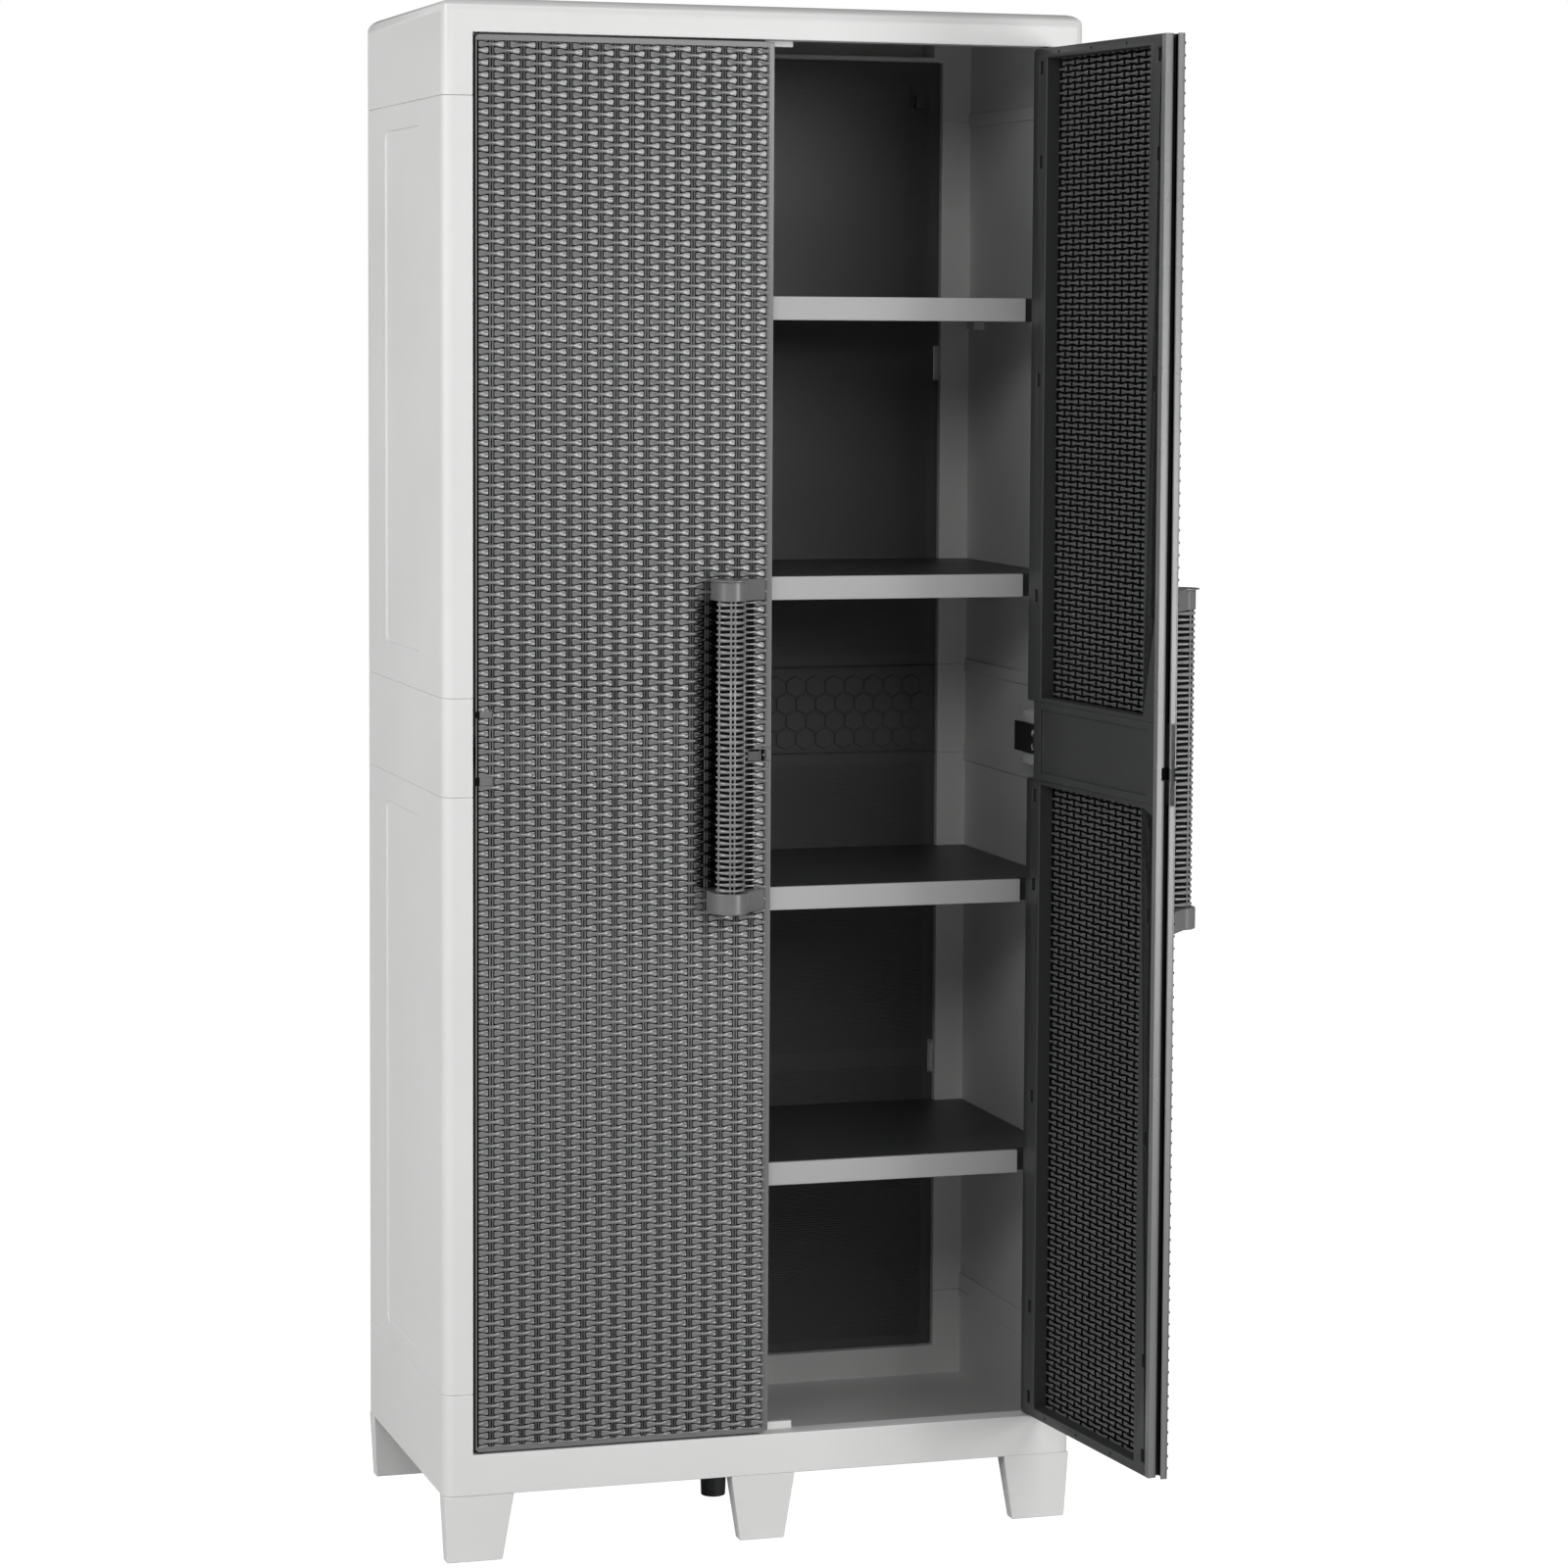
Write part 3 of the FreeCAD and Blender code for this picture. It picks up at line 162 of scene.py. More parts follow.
def only(thing):
    """Select one object alone and make it the active one."""
    bpy.ops.object.select_all(action="DESELECT")
    thing.select_set(True)
    bpy.context.view_layer.objects.active = thing
    return thing


def softened(node, edge, finish, body="case"):
    """A copy of a node with its loose triangles merged and its sharp edges rounded, in its place."""
    thing = bpy.data.objects.new(node + "_moulded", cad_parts[node].data.copy())
    bpy.context.scene.collection.objects.link(thing)
    only(thing)
    bpy.ops.object.mode_set(mode="EDIT")
    bpy.ops.mesh.select_all(action="SELECT")
    bpy.ops.mesh.remove_doubles(threshold=0.00001)
    bpy.ops.mesh.dissolve_limited(angle_limit=math.radians(0.5))
    bpy.ops.object.mode_set(mode="OBJECT")
    rounding = thing.modifiers.new("edges", "BEVEL")
    rounding.width = edge
    rounding.segments = 2
    rounding.limit_method = "ANGLE"
    rounding.angle_limit = math.radians(40)
    rounding.use_clamp_overlap = False
    bpy.ops.object.modifier_apply(modifier="edges")
    bpy.ops.object.shade_smooth_by_angle(angle=math.radians(35))
    evened = thing.modifiers.new("evened", "WEIGHTED_NORMAL")
    evened.keep_sharp = True
    bpy.ops.object.modifier_apply(modifier="evened")
    thing.data.materials.clear()
    thing.data.materials.append(finish)
    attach(thing, body)
    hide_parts(node)
    return thing


light_resin = resin("light_resin_grained", (0.70, 0.70, 0.695), 0.48)
dark_resin = resin("dark_resin_satin", (0.045, 0.046, 0.047), 0.42, cloud=0.08)
for node in ("front_left_foot", "front_middle_foot", "front_right_foot", "rear_left_foot",
             "rear_middle_foot", "rear_right_foot"):
    softened(node, 0.0015, light_resin)
# painted shade: the centre foot takes the dark resin for the shadow under the floor
softened("centre_foot", 0.001, dark_resin)

# The base: one light moulding with the front rail, the floor and its pockets. The feet plug into it
# from below, and the side panels stand on its low rim.
softened("base_tray", 0.0012, light_resin)

# The side panels, lower and upper, and the bands between them, all in light resin and locked together
# with spigots. The panels have shallow raised fields, and each band has a boss on its inner side that
# carries the hinge bracket; the boss's side faces are painted greyer, as painted shade.
boss_face = 0.3535
# grey trim resin: the shelf aprons' own colour, and painted shade on the bosses' side faces
trim_and_boss_shade_resin = resin("trim_resin_grained", (0.42, 0.425, 0.42), 0.5)
for node in ("lower_left_side", "lower_right_side", "left_mid_band", "right_mid_band",
             "upper_left_side", "upper_right_side"):
    wall = softened(node, 0.0012, light_resin)
    if "mid_band" in node:
        # painted shade: the boss's side faces take the greyer trim resin
        wall.data.materials.append(trim_and_boss_shade_resin)
        for face in wall.data.polygons:
            if abs(abs(face.center.x) - boss_face) < 0.0012 and abs(face.normal.x) > 0.3:
                face.material_index = 1

# The roof: a light lid whose front apron forms the lintel, plugged onto the upper sides. Its top edge
# is rounded all round by plane cuts that touch a quarter round.


def trimmed(thing, *planes, closed=False):
    """Cut a piece off outside planes, each given by a point and its outward direction."""
    only(thing)
    bpy.ops.object.mode_set(mode="EDIT")
    for point, outward in planes:
        bpy.ops.mesh.select_all(action="SELECT")
        bpy.ops.mesh.bisect(plane_co=point, plane_no=outward, clear_outer=True, use_fill=closed)
    bpy.ops.object.mode_set(mode="OBJECT")
    return thing


roof = softened("roof_cap", 0.0015, light_resin)
roof_round = 0.020
roof_low, roof_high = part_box("roof_cap")
for out in (Vector((-1, 0, 0)), Vector((1, 0, 0)), Vector((0, -1, 0)), Vector((0, 1, 0))):
    reach = max(out.dot(roof_low), out.dot(roof_high)) - roof_round
    centre = out * reach + Vector((0, 0, roof_high[2] - roof_round))
    for turn in (math.radians(45), math.radians(15), math.radians(75), math.radians(30), math.radians(60)):
        outward = out * math.cos(turn) + Vector((0, 0, math.sin(turn)))
        trimmed(roof, (centre + outward * roof_round, outward), closed=True)
bpy.ops.object.shade_smooth_by_angle(angle=math.radians(35))

# The back: five dark boards that slide down grooves in the posts. Fine ribs run across four of them,
# and the narrow one in the middle has a moulded honeycomb.


def bar(low, high, edge=0.0):
    """A bar between two corners, with its edges rounded."""
    low, high = Vector(low), Vector(high)
    bpy.ops.mesh.primitive_cube_add(size=1, location=(low + high) / 2, scale=high - low)
    thing = bpy.context.object
    bpy.ops.object.transform_apply(location=True, rotation=True, scale=True)
    if edge:
        bpy.ops.object.mode_set(mode="EDIT")
        bpy.ops.mesh.select_all(action="SELECT")
        bpy.ops.mesh.bevel(offset=edge, segments=2, affect="EDGES")
        bpy.ops.object.mode_set(mode="OBJECT")
    return thing


def repeated(thing, start, across, pitch_across, up, pitch_up):
    """Rows and columns of one piece, from its first place."""
    only(thing)
    thing.location = start
    bpy.ops.object.transform_apply(location=True, rotation=True, scale=True)
    for count, step in ((across, (pitch_across, 0, 0)), (up, (0, 0, pitch_up))):
        row = thing.modifiers.new("row", "ARRAY")
        row.use_relative_offset = False
        row.use_constant_offset = True
        row.constant_offset_displace = step
        row.count = count
        bpy.ops.object.modifier_apply(modifier="row")
    return thing


def merged(name, *things):
    """Join pieces into one object."""
    bpy.ops.object.select_all(action="DESELECT")
    for thing in things:
        thing.select_set(True)
    bpy.context.view_layer.objects.active = things[0]
    bpy.ops.object.join()
    things[0].name = name
    return things[0]


back_resin = resin("back_resin_satin", (0.085, 0.086, 0.087), 0.42, cloud=0.08)
rib_reach, rib_stand, rib_height, rib_pitch, first_rib = 0.3300, 0.0014, 0.0014, 0.0032, 0.0135
tile_radius, tile_groove, tile_depth, tile_edge = 0.0150, 0.0013, 0.0030, 0.0010
first_tile, tiles_across = 0.0205, 26
border_reach, border_height = 0.3425, 0.0025
for node in ("back_panel_bottom", "back_panel_lower", "back_panel_middle", "back_panel_upper",
             "back_panel_top"):
    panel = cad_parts[node]
    panel.data.materials.clear()
    panel.data.materials.append(back_resin)
    low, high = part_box(node)
    if node == "back_panel_middle":
        raised = []
        across, up = tile_radius * math.sqrt(3), tile_radius * 1.5
        for shift in (0, 1):
            bpy.ops.mesh.primitive_cylinder_add(vertices=6, radius=tile_radius - tile_groove,
                                                depth=tile_depth)
            tile = bpy.context.object
            tile.rotation_euler.x = math.pi / 2
            bpy.ops.object.transform_apply(location=False, rotation=True, scale=False)
            bpy.ops.object.mode_set(mode="EDIT")
            bpy.ops.mesh.select_all(action="SELECT")
            bpy.ops.mesh.bevel(offset=tile_edge, segments=2, affect="EDGES")
            bpy.ops.object.mode_set(mode="OBJECT")
            start = (across * (shift + 1 - tiles_across) / 2, low[1] - 0.0004,
                     low[2] + first_tile + up * shift)
            raised.append(repeated(tile, start, tiles_across - shift, across, 2, up * 2))
        for level in (low[2] + 0.0020, high[2] - 0.0045):
            raised.append(bar((-border_reach, low[1] - 0.0035, level),
                              (border_reach, low[1] + 0.0005, level + border_height), 0.001))
        relief = merged("back_panel_honeycomb", *raised)
    else:
        rib = bar((-rib_reach, -rib_stand, -rib_height / 2), (rib_reach, 0.0002, rib_height / 2))
        count = round((high[2] - low[2] - 0.024) / rib_pitch)
        relief = repeated(rib, (0, low[1], low[2] + first_rib), 1, 0, count, rib_pitch)
        relief.name = node + "_ribs"
    relief.data.materials.append(back_resin)
    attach(relief, "case")

# The shelves: four dark boards with ribbed undersides, each behind a grey apron that clips onto its
# front edge, laid on light rests at the side walls.
for node in ("shelf_board_1", "shelf_board_2", "shelf_board_3", "shelf_board_4"):
    softened(node, 0.0008, dark_resin)
softened("shelf_front_trims", 0.0012, trim_and_boss_shade_resin)
softened("shelf_rests", 0.0008, light_resin)

# The doors' woven skins: two anthracite mouldings on each door, screwed to the frames behind them.
# Their basket work runs over paired upright stakes and is shallower on the inner side. Door pieces are
# modelled with X from the hinge to the free edge, and then laid onto the left or the right door.
stake_pitch, first_stake, stake_count = 0.01845, 0.01175, 19
row_pitch, row_level = 0.0070, 1.7604
skin_start, skin_end = -0.0070, 0.3435
weave_start = skin_start + 0.0034
door_foot, lower_seam, upper_seam, door_head = 0.1310, 0.9083, 1.0019, 1.7785
end_bar, seam_bar = 0.0120, 0.0055
face_back, plate_front, plate_back = -0.0056, -0.0061, -0.0055
hinge_x, hinge_y = 0.3445, -0.2115
open_turn = Matrix.Rotation(math.radians(95.5), 4, "Z") @ Matrix.Scale(-1, 4, Vector((1, 0, 0)))
door_places = {"left": Matrix.Translation((-hinge_x, hinge_y, 0)),
               "right": Matrix.Translation((hinge_x, hinge_y, 0)) @ open_turn}


def strand(sections, sides, finish):
    """One strand over one stake, as sections at growing distances from the stake.

    Each section has its distance, its height, and how far it stands out at its middle and further up
    and down, so that a strand can spread and sink into a furrow on both sides of its own tip.
    """
    distance, height = sections[0][:2]
    bpy.ops.mesh.primitive_circle_add(vertices=sides, radius=1, rotation=(0, math.pi / 2, 0))
    thing = bpy.context.object
    bpy.ops.object.transform_apply(location=False, rotation=True, scale=False)
    bpy.ops.object.mode_set(mode="EDIT")
    bpy.ops.mesh.select_all(action="SELECT")
    bpy.ops.transform.resize(value=(1, 1, height / 2), center_override=(0, 0, 0))
    for section in sections[1:]:
        step = (section[0] - distance, 0, 0)
        bpy.ops.mesh.extrude_region_move(TRANSFORM_OT_translate={"value": step})
        bpy.ops.transform.resize(value=(1, 1, section[1] / height), center_override=(0, 0, 0))
        distance, height = section[:2]
    for distance, height, stands in sections:
        for step, stand in enumerate(stands):
            turn = 2 * math.pi * step / sides
            bpy.ops.mesh.select_all(action="DESELECT")
            bpy.ops.object.mode_set(mode="OBJECT")
            for point in thing.data.vertices:
                level = abs(point.co.z) - height / 2 * math.sin(turn)
                point.select = abs(point.co.x - distance) < 0.00001 and abs(level) < 0.00001
            bpy.ops.object.mode_set(mode="EDIT")
            bpy.ops.transform.resize(value=(1, stand / math.cos(turn), 1), center_override=(0, 0, 0))
    bpy.ops.object.mode_set(mode="OBJECT")
    thing.modifiers.new("both_ends", "MIRROR")
    bpy.ops.object.modifier_apply(modifier="both_ends")
    bpy.ops.object.mode_set(mode="EDIT")
    bpy.ops.mesh.select_all(action="SELECT")
    bpy.ops.mesh.bisect(plane_co=(0, 0, 0), plane_no=(0, 1, 0), clear_outer=True)
    bpy.ops.mesh.select_all(action="SELECT")
    bpy.ops.mesh.normals_make_consistent(inside=False)
    bpy.ops.object.mode_set(mode="OBJECT")
    bpy.ops.object.shade_smooth()
    thing.data.materials.append(finish)
    return thing


def rows_over(over, low, high):
    """The first level and the number of rows that cross over odd or over even stakes."""
    first = math.floor((low - row_level) / row_pitch)
    first += (first + 1 - over) % 2
    count = math.floor((high - row_level) / row_pitch + 1 - first) // 2 + 1
    return row_level + first * row_pitch, count


def weave(low, high, finish):
    """The face of one skin: strands over alternate stakes row by row, and the paired stakes."""
    stake_radius, stake_gap = 0.0011, 0.0031
    bowed = ((0, 0.0042, (0.0026, 0.0023, 0.0013)), (0.0044, 0.0044, (0.0025, 0.0021, 0.0012)),
             (0.0080, 0.0058, (0.0023, 0.0008, 0.0015)), (0.0112, 0.0070, (0.0013, 0.0003, 0.0019)),
             (0.0134, 0.0070, (0.0005, 0.0010, 0.0018)), (0.0148, 0.0064, (0.0006, 0.0008, 0.0005)))
    woven = []
    for over in (0, 1):
        level, count = rows_over(over, low, high)
        start = (first_stake - stake_pitch * over, plate_front, level)
        woven.append(repeated(strand(bowed, 12, finish), start, 10, stake_pitch * 2,
                              count, row_pitch * 2))
    bpy.ops.mesh.primitive_cylinder_add(vertices=8, radius=stake_radius, depth=high - low)
    stake = bpy.context.object
    bpy.ops.object.shade_smooth()
    # the stakes' darker resin is painted shade
    stake.data.materials.append(shaded_stake_resin)
    start = (first_stake - stake_gap / 2, plate_front - 0.0005, (low + high) / 2)
    pair = repeated(stake, start, 2, stake_gap, 1, 0)
    woven.append(repeated(pair, (0, 0, 0), stake_count, stake_pitch, 1, 0))
    return trimmed(merged("weave", *woven),
                   ((weave_start, 0, 0), (-1, 0, 0)), ((skin_end - 0.0003, 0, 0), (1, 0, 0)),
                   ((0, 0, low), (0, 0, -1)), ((0, 0, high), (0, 0, 1)))


def reverse_weave(low, high, finish):
    """The weave's back in a window of the door's frame, shallower than its face."""
    window_start, window_end = 0.0280, 0.2960
    bowed = ((0, 0.0028, (0.0022, 0.0015)), (0.0060, 0.0034, (0.0020, 0.0014)),
             (0.0092, 0.0050, (0.0016, 0.0011)), (0.0158, 0.0056, (0.0005, 0.0003)))
    woven = []
    for over in (0, 1):
        level, count = rows_over(1 - over, low, high)
        start = (first_stake + stake_pitch * over, face_back, level)
        back = strand(bowed, 8, finish)
        back.rotation_euler.z = math.pi
        only(back)
        bpy.ops.object.transform_apply(location=False, rotation=True, scale=False)
        woven.append(repeated(back, start, 10, stake_pitch * 2, count, row_pitch * 2))
    return trimmed(merged("weave_back", *woven),
                   ((window_start, 0, 0), (-1, 0, 0)), ((window_end, 0, 0), (1, 0, 0)),
                   ((0, 0, low), (0, 0, -1)), ((0, 0, high), (0, 0, 1)))


def put_on_door(thing, side, name, nodes):
    """Lay a piece made in the door's frame onto its door."""
    only(thing)
    thing.data.transform(door_places[side])
    if side == "right":
        thing.data.flip_normals()
    thing.name = name
    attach(thing, side + "_door")
    if nodes:
        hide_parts(*nodes)
    return thing


def painted_shade_beside_handle(finish, side):
    """Paint shade into a finish in the hollow of the door beside the handle, where fingers go in.

    The shade fades in and out over the given stretches across the door and up it.
    """
    fades_across, fades_up = ((0.252, 0.262), (0.304, 0.296)), ((0.784, 0.790), (1.131, 1.127))
    nodes, links = finish.node_tree.nodes, finish.node_tree.links
    place = door_places[side]
    along = (place.to_3x3() @ Vector((1, 0, 0))).normalized()
    spot = nodes.new("ShaderNodeTexCoord")
    parts = nodes.new("ShaderNodeSeparateXYZ")
    reach = nodes.new("ShaderNodeVectorMath")
    reach.operation = "DOT_PRODUCT"
    reach.inputs[1].default_value = along
    links.new(spot.outputs["Object"], parts.inputs[0])
    links.new(spot.outputs["Object"], reach.inputs[0])
    shade = None
    start = place.translation.dot(along)
    stretches = [(reach.outputs["Value"], start + low, start + high) for low, high in fades_across]
    stretches += [(parts.outputs["Z"], low, high) for low, high in fades_up]
    for source, low, high in stretches:
        fade = nodes.new("ShaderNodeMapRange")
        fade.interpolation_type = "SMOOTHSTEP"
        fade.inputs["From Min"].default_value = low
        fade.inputs["From Max"].default_value = high
        links.new(source, fade.inputs["Value"])
        if shade is None:
            shade = fade.outputs["Result"]
        else:
            both = nodes.new("ShaderNodeMath")
            both.operation = "MULTIPLY"
            links.new(shade, both.inputs[0])
            links.new(fade.outputs["Result"], both.inputs[1])
            shade = both.outputs[0]
    # painted shade: inside the hollow the colour fades to near-black
    shade_paint = nodes.new("ShaderNodeMix")
    shade_paint.data_type = "RGBA"
    shade_paint.inputs["B"].default_value = (0.003, 0.003, 0.003, 1)
    plain = nodes["Principled BSDF"].inputs["Base Color"].links[0].from_socket
    links.new(plain, shade_paint.inputs["A"])
    links.new(shade, shade_paint.inputs["Factor"])
    links.new(shade_paint.outputs["Result"], nodes["Principled BSDF"].inputs["Base Color"])
    return finish


border_resin = resin("door_border_resin", (0.15, 0.152, 0.15), 0.32)
# painted shade: the stakes get a darker resin than the strands, for the shade they lie in
shaded_stake_resin = resin("weave_stake_painted_shade", (0.115, 0.116, 0.115), 0.34)
reverse_resin = resin("weave_reverse_resin", (0.10, 0.101, 0.10), 0.20, grain=0.05)
reverse_resin.node_tree.nodes["Principled BSDF"].inputs["Specular IOR Level"].default_value = 0.9
edge_resin = resin("door_edge_resin", (0.16, 0.161, 0.16), 0.26)
# painted shade: a near-black finish for the gaps behind the weave, the pads' hollows, the padlock pocket,
# the rail holes and the grip's core
hollow_shade_paint = resin("painted_hollow_shade", (0.004, 0.004, 0.004), 0.8)
hollow_shade_paint.node_tree.nodes["Principled BSDF"].inputs["Specular IOR Level"].default_value = 0.08
corner_cuts = {"lower": ((weave_start, 0, door_foot), (-1, 0, -1)),
               "upper": ((weave_start, 0, door_head), (-1, 0, 1))}
band_front, bead_front, bead_start, bead_end = -0.0068, -0.0069, skin_start + 0.0003, skin_start + 0.0019
rim_start, rim_front, rim_back = 0.3410, -0.0074, 0.0005


def hem(low, high):
    """The narrow bead beside the weave, next to the hinge."""
    return bar((bead_start, bead_front, low), (bead_end, face_back, high), 0.0004)


woven_resins = {}
for side in ("left", "right"):
    woven_resin = resin(side + "_woven_resin", (0.17, 0.172, 0.171), 0.22, cloud=0.10, grain=0.05)
    woven_resin.node_tree.nodes["Principled BSDF"].inputs["Specular IOR Level"].default_value = 0.8
    woven_resins[side] = painted_shade_beside_handle(woven_resin, side)
    for part, foot, head, weave_low, weave_high, window_low, window_high in (
            ("lower", door_foot, lower_seam, door_foot + 0.0062, lower_seam,
             door_foot + end_bar, lower_seam - seam_bar),
            ("upper", upper_seam, door_head, upper_seam, door_head - 0.0067,
             upper_seam + seam_bar, door_head - end_bar)):
        plate = bar((skin_start, plate_front, foot), (skin_end, plate_back, head))
        # painted shade: the plate behind the strands is near-black, for the shade in the gaps
        plate.data.materials.append(hollow_shade_paint)
        band_low, band_high = (foot, weave_low) if part == "lower" else (weave_high, head)
        band = bar((skin_start, band_front, band_low), (skin_end, face_back, band_high), 0.0005)
        bead = hem(foot, head)
        for thing in (plate, band, bead):
            trimmed(thing, corner_cuts[part], closed=True)
        band.data.materials.append(border_resin)
        bead.data.materials.append(border_resin)
        skin = merged("skin", weave(weave_low, weave_high, woven_resin),
                      reverse_weave(window_low, window_high, reverse_resin), plate, band, bead)
        put_on_door(skin, side, "%s_door_%s_weave" % (side, part),
                    ["%s_door_%s_skin" % (side, part)])
        rim = bar((rim_start, rim_front, foot), (skin_end, rim_back, head), 0.0005)
        rim.data.materials.append(edge_resin)
        put_on_door(rim, side, "%s_door_%s_rim" % (side, part), [])

# The middle sections of the doors: one anthracite moulding each that joins the upper skin to the lower
# one, woven on its face and plain behind. The face is open at the padlock plate, and two smooth pads
# lie beside the middle hinge.
lock_low, lock_high = Vector((0.3205, 0, 0.9371)), Vector((0.3433, 0, 0.9511))
pad_levels, pad_height, pad_start, pad_end = (0.9158, 0.9945), 0.0100, skin_start + 0.0050, 0.0128
pad_front, pad_hollow, lock_border_front = -0.0070, -0.0066, -0.0084
lock_border, lock_border_side = 0.0016, 0.0010


def opened(thing, low, high):
    """Cut a rectangular opening into a piece, seen from the front."""
    only(thing)
    bpy.ops.object.mode_set(mode="EDIT")
    for point in (low, high):
        for way in ((1, 0, 0), (0, 0, 1)):
            bpy.ops.mesh.select_all(action="SELECT")
            bpy.ops.mesh.bisect(plane_co=point, plane_no=way)
    bpy.ops.mesh.select_mode(type="FACE")
    bpy.ops.mesh.select_all(action="DESELECT")
    bpy.ops.object.mode_set(mode="OBJECT")
    for face in thing.data.polygons:
        face.select = all(low[k] < face.center[k] < high[k] for k in (0, 2))
    bpy.ops.object.mode_set(mode="EDIT")
    bpy.ops.mesh.delete(type="FACE")
    bpy.ops.mesh.select_mode(type="VERT")
    bpy.ops.object.mode_set(mode="OBJECT")
    return thing


def trimmed_on_door(thing, side, *planes):
    """Cut a door's piece off outside planes given in the door's own frame."""
    place = door_places[side]
    turned = [(place @ Vector(point), place.to_3x3() @ Vector(outward)) for point, outward in planes]
    return trimmed(thing, *turned, closed=True)


for side in ("left", "right"):
    core = softened(side + "_door_middle_section", 0.0006, dark_resin, side + "_door")
    trimmed_on_door(core, side, ((0, plate_front, 0), (0, -1, 0)))
    plate = bar((skin_start, plate_front - 0.0001, lower_seam), (skin_end - 0.0005, face_back, upper_seam))
    # painted shade: the plate behind the strands is near-black, for the shade in the gaps
    plate.data.materials.append(hollow_shade_paint)
    bead = hem(lower_seam, upper_seam)
    bead.data.materials.append(border_resin)
    face = merged("face", weave(lower_seam, upper_seam, woven_resins[side]), plate, bead)
    opened(face, lock_low, lock_high)
    parts = []
    for level in pad_levels:
        top = level + pad_height
        opened(face, Vector((skin_start - 0.0020, 0, level)), Vector((pad_end, 0, top)))
        parts.append(bar((pad_start, pad_front, level), (pad_end, face_back, top), 0.0004))
        parts[-1].data.materials.append(border_resin)
        parts.append(bar((skin_start, pad_hollow, level), (pad_start, face_back, top)))
        # painted shade: a near-black strip in the hollow beside each pad
        parts[-1].data.materials.append(hollow_shade_paint)
    foot, head = lock_low.z - lock_border, lock_high.z + lock_border
    for left, right, low, high in ((lock_low.x, lock_high.x, lock_high.z, head),
                                   (lock_low.x, lock_high.x, foot, lock_low.z),
                                   (lock_low.x - lock_border_side, lock_low.x, foot, head)):
        parts.append(bar((left, lock_border_front, low), (right, face_back, high), 0.0004))
        parts[-1].data.materials.append(border_resin)
    face = merged("face", face, *parts)
    put_on_door(face, side, side + "_door_middle_weave", [])
    rim = merged("rim", bar((rim_start, rim_front, lower_seam), (skin_end, rim_back, lock_low.z), 0.0005),
                 bar((rim_start, rim_front, lock_high.z), (skin_end, rim_back, upper_seam), 0.0005))
    rim.data.materials.append(edge_resin)
    put_on_door(rim, side, side + "_door_middle_rim", [])

# The padlock plates: a small dark resin plate in each door's recess by the free edge. It ends at a
# step, beside a deep pocket with a bright pin, where the shackle of a padlock goes through both doors.
lock_resin = resin("padlock_plate_resin", (0.06, 0.061, 0.06), 0.4)
steel = resin("zinc_plated_steel", (0.75, 0.75, 0.75), 0.35)
steel.node_tree.nodes["Principled BSDF"].inputs["Metallic"].default_value = 0.5
step_start, step_end, pin_radius = 0.3352, 0.3369, 0.0010
lock_plate_front, step_front, pocket_front, pocket_back = -0.0068, -0.0078, -0.0060, -0.0052
for side in ("left", "right"):
    plate = bar((lock_low.x + 0.0007, lock_plate_front, lock_low.z + 0.0005),
                (step_start + 0.0002, face_back, lock_high.z - 0.0025), 0.0002)
    plate.data.materials.append(lock_resin)
    step = bar((step_start, step_front, lock_low.z + 0.0004),
               (step_end, face_back, lock_high.z - 0.0011), 0.0003)
    step.data.materials.append(edge_resin)
    pocket = bar((lock_low.x - 0.0002, pocket_front, lock_low.z - 0.0005),
                 (skin_end, pocket_back, lock_high.z + 0.0005))
    # painted shade: the pocket is near-black, for the shade inside it
    pocket.data.materials.append(hollow_shade_paint)
    bpy.ops.mesh.primitive_uv_sphere_add(segments=12, ring_count=8, radius=pin_radius,
                                         location=(step_end + 0.0033, -0.0062, lock_low.z + 0.0072))
    pin = bpy.context.object
    bpy.ops.object.transform_apply(location=True, rotation=True, scale=True)
    bpy.ops.object.shade_smooth()
    pin.data.materials.append(steel)
    put_on_door(merged("lock", plate, step, pocket, pin), side, side + "_padlock_recess",
                [side + "_padlock_plate"])

# The frames behind the skins: anthracite mouldings with slotted screw pockets and three small holes in
# each end rail. A strip is clipped along each free edge, and the left one carries the lip that the
# right door closes against, with a short bridge over its notch at the padlock.
hole_reaches, hole_radius, hole_depth = (0.059, 0.145, 0.237), 0.0017, 0.0004
hole_levels = (door_foot + end_bar / 2, door_head - end_bar / 2)
frame_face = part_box("left_door_upper_frame")[1][1] - hinge_y
for side in ("left", "right"):
    for part in ("lower", "upper"):
        inner = softened("%s_door_%s_frame" % (side, part), 0.0008, dark_resin,
                         side + "_door")
        trimmed_on_door(inner, side, ((0, face_back, 0), (0, -1, 0)), corner_cuts[part])
    softened(side + "_door_edge_strip", 0.0007, edge_resin, side + "_door")
    holes = []
    for reach in hole_reaches:
        for level in hole_levels:
            bpy.ops.mesh.primitive_cylinder_add(vertices=12, radius=hole_radius, depth=hole_depth,
                                                location=(reach, frame_face, level),
                                                rotation=(math.pi / 2, 0, 0))
            bpy.ops.object.transform_apply(location=True, rotation=True, scale=True)
            holes.append(bpy.context.object)
    holes = merged("holes", *holes)
    # painted shade: the holes are near-black discs on the rail
    holes.data.materials.append(hollow_shade_paint)
    put_on_door(holes, side, side + "_door_rail_holes", [])
strip_low, strip_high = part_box("left_door_edge_strip")
lip_front = strip_low[1] - hinge_y
bridge = bar((skin_end, lip_front, lock_low.z - lock_border),
             (strip_high[0] + hinge_x, lip_front + 0.0023, lock_high.z + lock_border), 0.0003)
bridge.data.materials.append(edge_resin)
put_on_door(bridge, "left", "left_door_lip_bridge", [])

